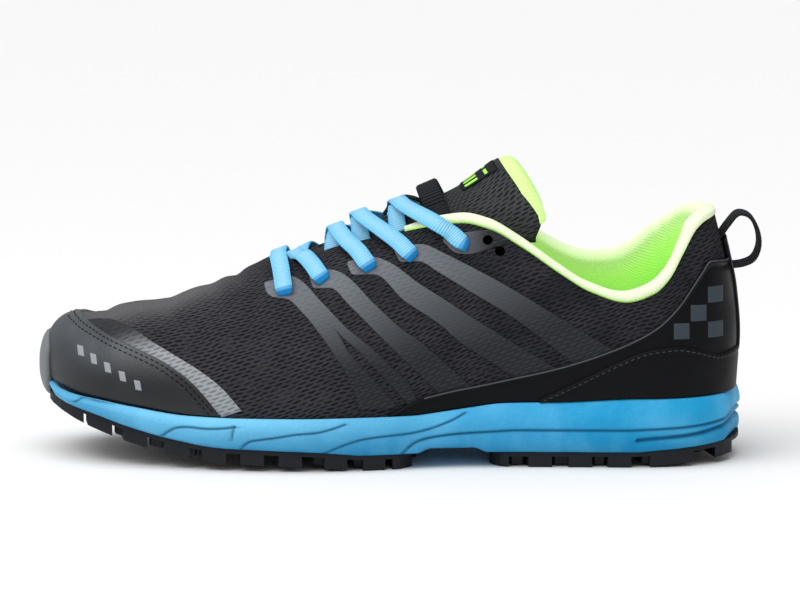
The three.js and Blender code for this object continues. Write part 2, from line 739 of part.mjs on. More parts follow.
const wallLevels = [0, 0.12, 0.27, 0.42, 0.58, 0.73, 0.88, 1];

function upperShell(inner, outer) {
  return sheet({
    rings: fullRing,
    low: () => 0,
    high: () => 1,
    levels: wallLevels,
    inner: () => inner,
    outer: () => outer,
    loop: true,
  });
}

// Eyelets on each side: five laced ones, and two spare ones by the collar.
const eyelets = [
  { x: 0.353 * soleLength, height: mix(rimHeightWaist, throatHeight, 0.81) },
  { x: 0.405 * soleLength, height: mix(rimHeightWaist, throatHeight, 0.9) },
  { x: 0.47 * soleLength, height: mix(rimHeightWaist, throatHeight, 0.985) },
  { x: 0.529 * soleLength, height: mix(throatHeight, collarFrontHeight, 0.22) },
  { x: 0.602 * soleLength, height: mix(throatHeight, collarFrontHeight, 0.52) },
  { x: 0.637 * soleLength, height: mix(throatHeight, collarFrontHeight, 0.62) },
  { x: 0.654 * soleLength, height: mix(throatHeight, collarFrontHeight, 0.36) },
];
const lacedEyelets = 5;

function eyeletPlace(side, k) {
  return locate(side, eyelets[k].x, eyelets[k].height);
}

function eyeletPunch(side, k) {
  const place = eyeletPlace(side, k);
  const normal = skinNormal(place.r, place.t);
  const reach = 2 * upperWall + 2;
  const tube = new THREE.CylinderGeometry(eyeletRadius, eyeletRadius, reach, 6);
  const turn = new THREE.Quaternion().setFromUnitVectors(new THREE.Vector3(0, 1, 0), normal);
  const centre = skin(place.r, place.t, -upperWall / 2);
  tube.applyQuaternion(turn).translate(centre.x, centre.y, centre.z);
  return manifoldOf(tube);
}

function makeUpper() {
  let upper = upperShell(-upperWall, 0);
  for (const side of [lateral, medial]) {
    for (let k = 0; k < eyelets.length; k++) upper = upper.subtract(eyeletPunch(side, k));
  }
  return upper;
}

// Overlay edges as seen from the side: x as a share of the sole's length, height in named sizes.
const capEdge = [
  { x: 0.052, height: toeBoxHeight },
  { x: 0.07, height: mix(rimHeightWaist, toeBoxHeight, 0.92) },
  { x: 0.092, height: mix(rimHeightWaist, toeBoxHeight, 0.83) },
  { x: 0.12, height: mix(rimHeightWaist, toeBoxHeight, 0.75) },
  { x: 0.15, height: mix(rimHeightWaist, toeBoxHeight, 0.69) },
  { x: 0.178, height: mix(rimHeightWaist, toeBoxHeight, 0.61) },
  { x: 0.203, height: mix(rimHeightWaist, toeBoxHeight, 0.51) },
  { x: 0.225, height: mix(rimHeightWaist, toeBoxHeight, 0.4) },
  { x: 0.246, height: mix(rimHeightWaist, toeBoxHeight, 0.24) },
  { x: 0.266, height: mix(rimHeightWaist, toeBoxHeight, 0.05) },
];
const wingEdge = [
  { x: 0.498, height: rimHeightWaist + 1.6 },
  { x: 0.53, height: mix(rimHeightWaist, collarDipHeight, 0.14) },
  { x: 0.575, height: mix(rimHeightWaist, collarDipHeight, 0.22) },
  { x: 0.63, height: mix(rimHeightWaist, collarDipHeight, 0.28) },
  { x: 0.67, height: mix(rimHeightWaist, collarDipHeight, 0.335) },
  { x: 0.725, height: mix(rimHeightWaist, collarDipHeight, 0.41) },
  { x: 0.78, height: mix(rimHeightWaist, collarDipHeight, 0.515) },
  { x: 0.83, height: mix(rimHeightWaist, collarDipHeight, 0.63) },
  { x: 0.875, height: mix(collarDipHeight, heelHeight, -0.35) },
  { x: 0.915, height: mix(collarDipHeight, heelHeight, -0.03) },
  { x: 0.94, height: mix(collarDipHeight, heelHeight, 0.31) },
  { x: 0.957, height: mix(collarDipHeight, heelHeight, 0.46) },
  { x: 0.985, height: mix(collarDipHeight, heelHeight, 0.42) },
];
const counterEdge = [
  { x: 0.712, height: rimHeightHeel },
  { x: 0.738, height: mix(rimHeightHeel, collarDipHeight, 0.1) },
  { x: 0.77, height: mix(rimHeightHeel, collarDipHeight, 0.22) },
  { x: 0.805, height: mix(rimHeightHeel, collarDipHeight, 0.34) },
  { x: 0.84, height: mix(rimHeightHeel, collarDipHeight, 0.45) },
  { x: 0.862, height: mix(rimHeightHeel, collarDipHeight, 0.515) },
  { x: 0.9, height: mix(rimHeightHeel, collarDipHeight, 0.53) },
  { x: 0.93, height: mix(rimHeightHeel, collarDipHeight, 0.48) },
  { x: 0.96, height: mix(rimHeightHeel, collarDipHeight, 0.4) },
  { x: 0.98, height: mix(rimHeightHeel, collarDipHeight, 0.41) },
];

// Part of a shell over the upper that shares the upper's own facets, so that the layers stay parallel.
function patch(keep, inner, outer) {
  const kept = fullRing.filter((r) => keep(stationOf(r)));
  const gapAt = kept.findIndex((r, i) => i > 0 && fullRing.indexOf(r) !== fullRing.indexOf(kept[i - 1]) + 1);
  const rings = gapAt > 0 ? [...kept.slice(gapAt), ...kept.slice(0, gapAt)] : kept;
  return sheet({
    rings,
    low: () => 0,
    high: () => 1,
    levels: wallLevels,
    inner: () => inner,
    outer: () => outer,
  });
}

// The side-view area between an edge and the foam's rim.
function areaOverRim(edge, from, to) {
  const count = 14;
  const top = edge.map((row) => [row.x * soleLength, row.height]);
  const lower = Array.from({ length: count + 1 }, (_, i) => {
    const x = soleLength * mix(from, to, i / count);
    return [x, rimAt(x) + 2 * gap];
  });
  return [...top, ...lower.reverse()];
}

function makeToeCap() {
  const front = [{ x: -0.02, height: toeBoxHeight + 6 }, { x: 0.046, height: toeBoxHeight + 6 }];
  const area = areaOverRim([...front, ...capEdge], -0.02, capEdge[capEdge.length - 1].x);
  return patch((s) => s < 0.31, seat, seat + overlayThickness).intersect(sidePrism(area, ballWidth));
}

function heelPanel(edge, inner, outer) {
  const back = [{ x: 1.03, height: edge[edge.length - 1].height }];
  const area = areaOverRim([...edge, ...back], edge[0].x, 1.03);
  return patch((s) => s > edge[0].x - 0.05, inner, outer).intersect(sidePrism(area, ballWidth));
}

const makeWing = () => heelPanel(wingEdge, seat, seat + overlayThickness);
const counterInner = 2 * seat + overlayThickness;
const makeCounter = () => heelPanel(counterEdge, counterInner, counterInner + counterThickness);

// Backstay: a narrow strip up the middle of the heel, from the counter's edge to the pull loop.
function makeBackstay() {
  const low = counterEdge[counterEdge.length - 1].height + 2 * gap;
  const area = [
    [0.9 * soleLength, low],
    [1.03 * soleLength, low],
    [1.03 * soleLength, heelHeight - 3],
    [0.9 * soleLength, heelHeight - 3],
  ];
  return patch((s) => s > 0.9, counterInner, counterInner + overlayThickness)
    .intersect(sidePrism(area, backstayHalf))
    .trimByPlane([1, 0, 0], 0.94 * soleLength);
}

// Support stripes: films that run from each eyelet down and back to the sole or the heel wing. Each row
// has the stripe's upper end, a bend, its lower end and its widths, in shares of the same sizes.
const stripes = [
  { from: [0.338, 0.86], bend: [0.42, 0.52], to: [0.497, 0.06], wide: [9.5, 6.5, 13], holes: [0] },
  { from: [0.39, 0.94], bend: [0.48, 0.6], to: [0.567, 0.24], wide: [9.5, 8, 8.5], holes: [1] },
  { from: [0.455, 1.02], bend: [0.555, 0.7], to: [0.648, 0.32], wide: [9.5, 8, 9], holes: [2] },
  { from: [0.514, 1.1], bend: [0.625, 0.77], to: [0.735, 0.42], wide: [9.5, 8, 9], holes: [3] },
  { from: [0.584, 1.16], bend: [0.632, 1.17], to: [0.668, 1.17], wide: [9.5, 9.5, 7], holes: [4, 5] },
];

const stripeSheet = patch((s) => s > 0.3 && s < 0.76, seat, seat + stripeThickness);

function makeStripe(side, stripe) {
  const pin = ([share, up]) => new THREE.Vector2(share * soleLength, mix(rimHeightWaist, throatHeight, up));
  const path = new THREE.QuadraticBezierCurve(
    pin(stripe.from),
    pin(stripe.bend).multiplyScalar(2).sub(pin(stripe.from).add(pin(stripe.to)).multiplyScalar(0.5)),
    pin(stripe.to),
  );
  const steps = 4;
  const border = (sign) =>
    Array.from({ length: steps + 1 }, (_, i) => {
      const f = i / steps;
      const centre = path.getPoint(f);
      const tangent = path.getTangent(f);
      const [a, b, c] = stripe.wide;
      const wide = f < 0.5 ? mix(a, b, 2 * f) : mix(b, c, 2 * f - 1);
      return [centre.x - (sign * tangent.y * wide) / 2, centre.y + (sign * tangent.x * wide) / 2];
    });
  const area = sidePrism([...border(1), ...border(-1).reverse()], ballWidth);
  const film = stripeSheet.intersect(area).trimByPlane([0, side, 0], 6);
  return stripe.holes.reduce((rest, k) => rest.subtract(eyeletPunch(side, k)), film);
}

// Padded collar lining: it starts at the fabric's edge, rolls over it and runs down inside.
const liningFirst = stations.find((s) => s > liningStart);
const liningLevels = wallLevels.filter((t) => t >= liningDepth);
const liningFade = (s) => smoothStep((s - liningStart) / 0.06);
function padAt(s, t) {
  const along = mix(0.42, 1, smoothStep((s - liningStart) / 0.18));
  const height = mix(0.3, 1, smoothStep((t - liningDepth) / (1 - liningDepth)));
  return liningPad * along * height;
}

function liningLoop(r, clearance) {
  const s = stationOf(r);
  const up = edgeUp(r);
  const fade = mix(0.35, 1, liningFade(s));
  const roll = liningRoll * fade * mix(1, 0.68, smoothStep((s - 0.93) / 0.06));
  const back = -(upperWall + gap) + clearance;
  const pad = padAt(s, 1) * fade + clearance;
  const raised = (offset, height) => skin(r, 1, offset).addScaledVector(up, height);
  const outer = liningLevels.map((t) => skin(r, t, back));
  const inner = liningLevels.map((t) => skin(r, t, back - padAt(s, t) * fade - 2 * clearance));
  const inward = back - pad;
  return [
    ...outer,
    raised(back, 2 * gap),
    raised(clearance, 2 * gap - clearance),
    raised(0.5 + clearance, 0.45 * roll),
    raised(mix(0.3, inward, 0.22), 0.88 * roll + clearance),
    raised(mix(0.3, inward, 0.5), roll + clearance),
    raised(mix(0.3, inward, 0.8), 0.8 * roll + clearance),
    raised(inward - clearance, 0.38 * roll),
    ...inner.reverse(),
  ].map((p) => p.toArray());
}

function liningSolid(clearance) {
  const side = stations.filter((s) => s >= liningFirst);
  const rings = [
    ...side.map((s) => ringOf(lateral, s)),
    ...side.slice(0, -1).reverse().map((s) => ringOf(medial, s)),
  ];
  const loops = rings.map((r) => liningLoop(r, clearance));
  const n = loops[0].length;
  const faces = [];
  for (let i = 0; i < loops.length - 1; i++) {
    for (let k = 0; k < n; k++) {
      const m = (k + 1) % n;
      faces.push(...quad(loops[i][k], loops[i][m], loops[i + 1][m], loops[i + 1][k]));
    }
  }
  const cap = (loop, turned) => {
    for (let k = 0; k < 5; k++) {
      const face = quad(loop[k], loop[k + 1], loop[n - 2 - k], loop[n - 1 - k]);
      faces.push(...(turned ? face.map((t) => [t[0], t[2], t[1]]) : face));
    }
    for (let k = 5; k < n - 7; k++) {
      const face = [loop[n - 6], loop[k], loop[k + 1]];
      faces.push(turned ? [face[0], face[2], face[1]] : face);
    }
  };
  cap(loops[0], true);
  cap(loops[loops.length - 1], false);
  return solidOf(faces);
}

// Tongue: its middle line from under the vamp up to its top edge, with half widths and thickness.
const tongueRows = [
  { along: 0.0, x: 0.3, height: mix(toeBoxHeight, throatHeight, 0.58), half: 0.8, spread: 52, thick: 0.4, drop: 1.22 },
  { along: 0.12, x: 0.345, height: mix(toeBoxHeight, throatHeight, 0.83), half: 0.84, spread: 56, thick: 0.42, drop: 1.22 },
  { along: 0.3, x: 0.405, height: mix(throatHeight, tongueTopHeight, 0.09), half: 0.9, spread: 62, thick: 0.5, drop: 1.22 },
  { along: 0.5, x: 0.48, height: mix(throatHeight, tongueTopHeight, 0.34), half: 0.95, spread: 68, thick: 0.65, drop: 1.22 },
  { along: 0.68, x: 0.54, height: mix(throatHeight, tongueTopHeight, 0.51), half: 1, spread: 72, thick: 0.8, drop: 1.22 },
  { along: 0.84, x: 0.594, height: mix(throatHeight, tongueTopHeight, 0.685), half: 1.02, spread: 77, thick: 1.1, drop: 1.24 },
  { along: 1.0, x: 0.656, height: tongueTopHeight, half: 1, spread: 92, thick: 1.5, drop: 1.5 },
];
const tongueX = curve(tongueRows, "x", "along");
const tongueZ = curve(tongueRows, "height", "along");
const tongueHalfShare = curve(tongueRows, "half", "along");
const tongueSpread = curve(tongueRows, "spread", "along");
const tongueThick = curve(tongueRows, "thick", "along");
const tongueDrop = curve(tongueRows, "drop", "along"); // how much deeper than round its section is

// A point over the tongue: q along it, v across it from -1 to 1, lift above its outer face.
function tonguePoint(q, v, lift) {
  const step = 0.01;
  const low = Math.max(0, q - step);
  const high = Math.min(1, q + step);
  const run = (tongueX(high) - tongueX(low)) * soleLength;
  const climb = tongueZ(high) - tongueZ(low);
  const size = Math.hypot(run, climb);
  const angle = (v * tongueSpread(q) * Math.PI) / 180;
  const half = tongueHalf * tongueHalfShare(q);
  const across = (half + lift) * Math.sin(angle);
  const fall = tongueDrop(q) * half * (1 - Math.cos(angle)) - lift * Math.cos(angle);
  return new THREE.Vector3(
    tongueX(q) * soleLength + (fall * climb) / size,
    across,
    tongueZ(q) - (fall * run) / size,
  );
}

function makeTongue() {
  const lengthSteps = 12;
  const across = [-1, -0.85, -0.6, -0.3, 0, 0.3, 0.6, 0.85, 1];
  const loops = Array.from({ length: lengthSteps + 1 }, (_, i) => {
    const q = i / lengthSteps;
    const thick = (v) => tongueThickness * tongueThick(q) * (1 - 0.45 * v ** 4);
    const top = across.map((v) => tonguePoint(q, v, 0).toArray());
    const under = across.map((v) => tonguePoint(q, v, -thick(v)).toArray()).reverse();
    return [...top, ...under];
  });
  return loftLoops(loops, true);
}

// Lace keeper: a strap across the tongue, sewn down at both sides and slack over the middle.
function makeKeeper() {
  const reach = 0.62;
  const steps = 12;
  const middle = tongueAlong(keeperStation * soleLength);
  const halfShare = keeperWidth / 2 / tongueLength;
  const loops = [middle - halfShare, middle + halfShare].map((q) => {
    const lift = (v) => seat + keeperSlack * Math.cos((clamp(v / 0.42, -1, 1) * Math.PI) / 2) ** 0.8;
    const places = Array.from({ length: steps + 1 }, (_, i) => mix(-reach, reach, i / steps));
    const under = places.map((v) => tonguePoint(q, v, lift(v)).toArray());
    const over = places.map((v) => tonguePoint(q, v, lift(v) + webbing).toArray()).reverse();
    return [...under, ...over];
  });
  return loftLoops(loops, true);
}

// A flat lace strip along a curve; its width lies across the curve and flat to the shoe.
function laceStrip(points, width) {
  const path = new THREE.CatmullRomCurve3(points, false, "centripetal");
  const steps = 9;
  const loops = Array.from({ length: steps + 1 }, (_, i) => {
    const centre = path.getPointAt(i / steps);
    const tangent = path.getTangentAt(i / steps);
    const upward = new THREE.Vector3(-0.35, clamp(centre.y / 26, -1, 1) * 0.8, 1).normalize();
    const across = tangent.clone().cross(upward).normalize();
    const normal = across.clone().cross(tangent).normalize();
    return [
      [-1, 0],
      [1, 0],
      [1, 1],
      [-1, 1],
    ].map(([u, v]) =>
      centre
        .clone()
        .addScaledVector(across, (u * width) / 2)
        .addScaledVector(normal, v * laceThickness)
        .toArray(),
    );
  });
  return loftLoops(loops, true);
}

const tongueAlong = (x) => {
  let low = 0;
  let high = 1;
  for (let i = 0; i < 20; i++) {
    const middle = (low + high) / 2;
    if (tongueX(middle) * soleLength < x) low = middle;
    else high = middle;
  }
  return (low + high) / 2;
};

// A point over one eyestay, set back from its edge by a share of the way to the eyelet.
function eyestayPoint(side, k, share, lift, shift) {
  const place = eyeletPlace(side, k);
  const t = mix(1, place.t, share);
  const s = place.s + shift / soleLength;
  return skin(ringOf(side, s), t, lift);
}

function laceBar() {
  const lift = laceLift;
  const crest = tonguePoint(tongueAlong(eyelets[0].x - 1), 0, 5.4);
  return laceStrip(
    [
      eyestayPoint(lateral, 0, 1, lift, 0),
      eyestayPoint(lateral, 0, 0.2, lift + 0.4, -1.5),
      crest,
      eyestayPoint(medial, 0, 0.2, lift + 0.4, -1.5),
      eyestayPoint(medial, 0, 1, lift, 0),
    ],
    laceWidth,
  );
}

// One crossing: each strip leaves an eyelet, passes over its eyestay's edge and over the tongue, and
// ends beside the other eyestay's edge. The rows give the stations of the crossing and of the ends.
const laceCrossings = [
  { crossing: 0.372, end: 0.364, over: 0.6, lift: 4.4, tuck: 0.24 },
  { crossing: 0.43, end: 0.414, over: 0.4, lift: 4.6, tuck: 0.5 },
  { crossing: 0.468, end: 0.458, over: 0.4, lift: 5, tuck: 0.5 },
  { crossing: 0.515, end: 0.508, over: 3, lift: 3.6, tuck: 0.5 },
];

function laceCross(k) {
  const row = laceCrossings[k - 1];
  const crossing = row.crossing * soleLength;
  const end = row.end * soleLength;
  const strip = (side, lift) =>
    laceStrip(
      [
        eyestayPoint(side, k, 1, laceLift, 0),
        eyestayPoint(side, k, 0.3, laceLift + row.over, (crossing - eyelets[k].x) * 0.32),
        tonguePoint(tongueAlong(mix(crossing, eyelets[k].x, 0.24)), side * 0.42, lift + 0.6),
        tonguePoint(tongueAlong(crossing), -side * 0.1, lift),
        tonguePoint(tongueAlong(end), -side * row.tuck, 0.7),
      ],
      laceWidth,
    );
  return strip(lateral, row.lift).add(strip(medial, row.lift - 0.6));
}

// Heel pull loop: a webbing band bent round in the shoe's middle plane.
const pullLoopLine = [
  { back: 9.5, height: heelHeight - 9 },
  { back: 6.2, height: heelHeight - 4.2 },
  { back: 1.8, height: heelHeight + 0.4 },
  { back: -2.6, height: heelHeight - 0.6 },
  { back: -6, height: heelHeight - 6 },
  { back: -6.9, height: heelHeight - 13 },
  { back: -4.6, height: heelHeight - 18.5 },
  { back: -0.4, height: heelHeight - 20.6 },
  { back: 5.5, height: heelHeight - 21.4 },
];

function makePullLoop() {
  const path = new THREE.SplineCurve(
    pullLoopLine.map((p) => new THREE.Vector2(soleLength - p.back, p.height)),
  );
  const steps = 24;
  const edge = (offset) =>
    Array.from({ length: steps + 1 }, (_, i) => {
      const point = path.getPoint(i / steps);
      const tangent = path.getTangent(i / steps);
      return [point.x - tangent.y * offset, point.y + tangent.x * offset];
    });
  const band = sidePrism([...edge(-webbing / 2), ...edge(webbing / 2).reverse()], pullLoopWidth / 2);
  const reach = heelHeight - rimHeightHeel;
  const keepOut = upperShell(-upperWall - reach / 12, counterInner + overlayThickness + seat);
  return band.subtract(keepOut);
}

// Rubber bumper that wraps the toe tip in front of the foam and the toe cap.
function makeBumper() {
  const rows = [
    { z: toeSpring - 0.5, inset: -0.35 },
    { z: mix(toeSpring, rimHeightToe, 0.5), inset: -0.45 },
    { z: rimHeightToe + 1, inset: -0.4 },
    { z: mix(rimHeightToe, toeBoxHeight, 0.27), inset: -0.1 },
    { z: mix(rimHeightToe, toeBoxHeight, 0.5), inset: 0.7 },
    { z: mix(rimHeightToe, toeBoxHeight, 0.615), inset: 1.5 },
  ];
  const steps = 10;
  const reach = ringOf(lateral, bumperReach);
  const rings = Array.from({ length: steps + 1 }, (_, i) => mix(-reach, reach, i / steps));
  const place = (r, row, extra) => {
    const side = r < 0 ? medial : lateral;
    const [x, y] = outline(side, stationOf(r), row.inset - extra);
    return [x, y, row.z];
  };
  const loops = rings.map((r) => {
    const edge = 1 - Math.abs(r) / reach;
    const crown = mix(0.35, 1, Math.sqrt(clamp(edge * 2.2, 0, 1)));
    const scaled = rows.map((row) => ({ ...row, z: mix(rows[0].z, row.z, crown) }));
    const thick = mix(0.5, 1, smoothStep(edge * 3)) * bumperThickness;
    const front = scaled.map((row, j) => place(r, row, j === rows.length - 1 ? thick * 0.5 : thick));
    const back = scaled.map((row) => place(r, row, 0)).reverse();
    return [...front, ...back];
  });
  return loftLoops(loops, true);
}

function makeInsole() {
  const inset = footbedInset + gap + upperWall + gap;
  const bottom = (x) => footbedAt(x) + gap;
  return stackRings([
    soleRing(inset, bottom),
    soleRing(inset, (x) => bottom(x) + insoleThickness - 1),
    soleRing(inset + 1, (x) => bottom(x) + insoleThickness),
  ]);
}

// Colours as seen on the shoe.
const finish = {
  mesh: { color: 0x2b2b33, roughness: 0.85, metalness: 0 },
  synthetic: { color: 0x1c1e23, roughness: 0.5, metalness: 0 },
  film: { color: 0x6a7077, roughness: 0.6, metalness: 0 },
  foam: { color: 0x30a2d8, roughness: 0.6, metalness: 0 },
  rubber: { color: 0x1d2126, roughness: 0.75, metalness: 0 },
  lining: { color: 0xb6f58a, roughness: 0.9, metalness: 0 },
  lace: { color: 0x5fb9ea, roughness: 0.8, metalness: 0 },
  webbing: { color: 0x1a1d20, roughness: 0.8, metalness: 0 },
  insole: { color: 0x26282c, roughness: 0.9, metalness: 0 },
};

const shoe = new THREE.Group();
shoe.name = "trail_running_shoe";
function addPiece(name, solid, look) {
  const mesh = new THREE.Mesh(geometryOf(solid), new THREE.MeshStandardMaterial(finish[look]));
  mesh.name = name;
  shoe.add(mesh);
}

let midsole = makeMidsole();
for (const side of [lateral, medial]) {
  for (const wave of waves) midsole = midsole.subtract(waveTool(side, wave));
}
addPiece("midsole", midsole, "foam");
addPiece("outsole_forefoot", makeTread(0, forefootPlateEnd, forefootLugs, 1), "rubber");
addPiece("outsole_heel", makeTread(heelPlateStart, 1, heelLugs, -1), "rubber");
addPiece("toe_bumper", makeBumper(), "rubber");
addPiece("insole", makeInsole(), "insole");
addPiece("upper", makeUpper(), "mesh");
addPiece("toe_cap", makeToeCap(), "synthetic");
addPiece("heel_wing", makeWing(), "synthetic");
addPiece("heel_counter", makeCounter(), "synthetic");
addPiece("backstay", makeBackstay(), "synthetic");
for (const [word, side] of [
  ["lateral", lateral],
  ["medial", medial],
]) {
  stripes.forEach((stripe, i) => addPiece(`stripe_${word}_${i + 1}`, makeStripe(side, stripe), "film"));
}
addPiece("collar_lining", liningSolid(0), "lining");
addPiece("tongue", makeTongue(), "mesh");
addPiece("tongue_keeper", makeKeeper(), "webbing");
addPiece("pull_loop", makePullLoop(), "webbing");
addPiece("lace_bar_1", laceBar(), "lace");
for (let k = 1; k < lacedEyelets; k++) addPiece(`lace_cross_${k + 1}`, laceCross(k), "lace");

const box = new THREE.Box3().setFromObject(shoe);
const middle = box.getCenter(new THREE.Vector3());
shoe.position.set(-middle.x, -middle.y, -box.min.z);

export default shoe;
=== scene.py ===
import math
import bmesh
import bpy
import numpy as np
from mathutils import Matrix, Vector


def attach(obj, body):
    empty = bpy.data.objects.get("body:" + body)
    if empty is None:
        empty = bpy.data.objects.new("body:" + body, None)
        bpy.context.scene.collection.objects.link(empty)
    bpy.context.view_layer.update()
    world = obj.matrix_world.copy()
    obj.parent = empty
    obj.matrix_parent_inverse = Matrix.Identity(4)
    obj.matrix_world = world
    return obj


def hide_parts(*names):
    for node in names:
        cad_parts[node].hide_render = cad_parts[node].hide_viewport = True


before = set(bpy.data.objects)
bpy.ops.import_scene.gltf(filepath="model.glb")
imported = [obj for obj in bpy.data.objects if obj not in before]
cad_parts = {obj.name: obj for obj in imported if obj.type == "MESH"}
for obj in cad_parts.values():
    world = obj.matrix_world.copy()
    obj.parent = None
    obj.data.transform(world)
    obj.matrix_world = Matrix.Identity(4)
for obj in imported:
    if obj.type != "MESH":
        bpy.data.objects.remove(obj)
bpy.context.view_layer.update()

print("stage: frame loaded")

# The shoe's own sizes in millimetres, from the toe tip. Stations are shares of the sole's length.
sole = dict(
    length=293, ball=107, waist=78, heel=86, toeSwing=9, toeSpring=25, heelLift=4,
    lugHeight=4.4, plate=1.7, archLift=1.9, rimHeel=28.6, rimWaist=22, rimToe=33,
    rimDepth=6.3, rimInset=2.3, footbedInset=4.4, forefootEnd=0.538, heelStart=0.637, clear=0.3)
shape = dict(
    wall=2.6, toeBox=57.2, throat=82.5, collarFront=99.4, collarDip=67.6, medialRise=15,
    heel=100, throatStation=0.335, throatRound=0.05, domeReach=0.12, throatHalf=16,
    collarHalf=35.5, bulge=3.4, heelLean=11.5, toeWall=13, toeTopReach=0.0465)
origin = np.array((-149.439, 1.071, 0))  # where the part's frame has the toe tip
lateral, medial = -1, 1
sideWords = ((lateral, "Lateral"), (medial, "Medial"))
soleLong = sole["length"]
airGap = sole["clear"]


def mix(a, b, f):
    return a + (b - a) * f


def smooth(v):
    u = np.clip(v, 0, 1)
    return u * u * (3 - 2 * u)


def rounded(distance, radius):  # 0 at an edge, 1 past the radius, as a quarter circle
    return np.sqrt(1 - (1 - np.clip(distance / radius, 0, 1)) ** 2)


def cosineSteps(parts):  # from 0 to 1, closest together at both ends
    return (1 - np.cos(np.pi * np.arange(parts + 1) / parts)) / 2


def unit(v):
    return v / np.maximum(np.linalg.norm(v, axis=-1, keepdims=True), 1e-9)


def lengthAlong(points):
    return np.concatenate([[0], np.cumsum(np.linalg.norm(np.diff(points, axis=0), axis=1))])


def curve(rows, column, along=0):  # a smooth line through a table's rows that never overshoots
    xs = np.array([r[along] for r in rows], float)
    ys = np.array([r[column] for r in rows], float)
    slope = np.diff(ys) / np.diff(xs)
    tangent = np.zeros(len(xs))
    tangent[0], tangent[-1] = slope[0], slope[-1]
    for i in range(1, len(xs) - 1):
        if slope[i - 1] * slope[i] > 0:
            tangent[i] = 2 * slope[i - 1] * slope[i] / (slope[i - 1] + slope[i])

    def at(v):
        u = np.clip(v, xs[0], xs[-1])
        i = np.clip(np.searchsorted(xs, u, side="right") - 1, 0, len(xs) - 2)
        h = xs[i + 1] - xs[i]
        f = (u - xs[i]) / h
        g = 1 - f
        return (ys[i] * (1 + 2 * f) * g * g + tangent[i] * h * f * g * g
                + ys[i + 1] * (3 - 2 * f) * f * f - tangent[i + 1] * h * f * f * g)
    return at


def between(spans):  # a smooth line whose rows lie between two named sizes by a share
    return curve([(s, mix(low, high, f)) for low, high, rows in spans for s, f in rows], 1)


# Plan of the sole.
planShares = [  # station, the width they are shares of, outer half, inner half, swing
    (0.0, "ball", 0.36, 0.335, 1), (0.05, "ball", 0.375, 0.345, 0.83), (0.13, "ball", 0.415, 0.39, 0.5),
    (0.2, "ball", 0.45, 0.44, 0.22), (0.28, "ball", 0.486, 0.486, 0), (0.37, "ball", 0.505, 0.477, 0),
    (0.47, "ball", 0.468, 0.4, 0), (0.56, "waist", 0.56, 0.468, 0), (0.64, "waist", 0.532, 0.474, 0),
    (0.74, "heel", 0.49, 0.477, 0), (0.84, "heel", 0.5, 0.5, 0), (1.0, "heel", 0.475, 0.475, 0)]
planRows = [(s, outer * sole[size], inner * sole[size], drift * sole["toeSwing"])
            for s, size, outer, inner, drift in planShares]
outerHalf, innerHalf, swing = (curve(planRows, k) for k in (1, 2, 3))
tip = dict(reach=0.13, power=2.3)


def tipRound(s):  # 1 along the shoe, falling to 0 at both tips
    p = tip["power"]
    toe = np.clip(1 - s / tip["reach"], 0, 1)
    heel = np.clip(1 - (1 - s) / tip["reach"], 0, 1)
    return (1 - toe ** p) ** (1 / p) * (1 - heel ** p) ** (1 / p)


def halfAt(side, s):
    return np.where(np.asarray(side) == lateral, outerHalf(s), innerHalf(s))


def outline(side, s, inset, tail=None):  # tail is the inset at the heel's back end
    half = halfAt(side, s) - inset
    reach = soleLong - inset - (inset if tail is None else tail)
    return inset + reach * s, swing(s) + side * half * tipRound(s)


# Heights along the sole, as shares between two named sizes.
rimLow = sole["rimWaist"]
ground = between((
    (0, sole["toeSpring"], (
        (0.0, 1), (0.03, 0.84), (0.06, 0.69), (0.1, 0.53), (0.15, 0.36), (0.2, 0.23), (0.26, 0.13),
        (0.33, 0.1), (0.39, 0.075), (0.435, 0.03), (0.463, 0))),
    (0, sole["heelLift"], ((0.84, 0), (0.88, 0.22), (0.93, 0.48), (0.97, 0.72), (1.0, 1)))))
rim = between((
    (rimLow, sole["rimToe"], (
        (0.0, 1), (0.05, 0.57), (0.1, 0.42), (0.14, 0.27), (0.22, 0.03), (0.3, 0), (0.53, 0))),
    (rimLow, sole["rimHeel"], (
        (0.57, 0.18), (0.61, 0.42), (0.66, 0.7), (0.74, 0.78), (0.85, 1), (1.0, 1)))))
treadHeight = airGap + sole["plate"] + sole["lugHeight"]


def groundAt(x):
    return ground(x / soleLong)


def rimAt(x):
    return rim(x / soleLong)


def taperAt(x):
    return mix(0.56, 1, smooth(x / soleLong / 0.1))


def footbedAt(x):
    return rimAt(x) - sole["rimDepth"] * mix(0.3, 1, smooth(x / soleLong / 0.12))


def foamBottomAt(x):
    s = x / soleLong
    arch = smooth((s - sole["forefootEnd"]) / 0.02) * smooth((sole["heelStart"] - s) / 0.02)
    return groundAt(x) + treadHeight * taperAt(x) + sole["archLift"] * arch


# Top edge of the upper, its half width, and the handles of each section.
toeTop, throatTop, collarTop, collarLow, heelTop = (
    shape[k] for k in ("toeBox", "throat", "collarFront", "collarDip", "heel"))
topHeight = between((
    (toeTop, throatTop, (
        (0.0465, 0), (0.075, 0.02), (0.107, 0.145), (0.155, 0.24), (0.179, 0.265), (0.203, 0.39),
        (0.251, 0.56), (0.3, 0.8), (0.335, 1))),
    (throatTop, collarTop, (
        (0.36, 0.13), (0.39, 0.24), (0.42, 0.32), (0.48, 0.52), (0.54, 0.76), (0.6, 0.97), (0.623, 1))),
    (collarLow, collarTop, ((0.66, 0.93), (0.708, 0.7), (0.767, 0.35), (0.81, 0.13), (0.862, 0))),
    (collarLow, heelTop, (
        (0.904, 0.1), (0.927, 0.27), (0.949, 0.6), (0.968, 0.87), (0.985, 0.97), (1.0, 1)))))
medialRise = curve([  # the inner side of the collar climbs to the heel sooner
    (0.62, 0), (0.7, 0.09), (0.765, 0.18), (0.814, 0.36), (0.85, 0.59), (0.887, 0.8), (0.916, 0.96),
    (0.937, 0.72), (0.953, 0.36), (0.97, 0.1), (1.0, 0)], 1)
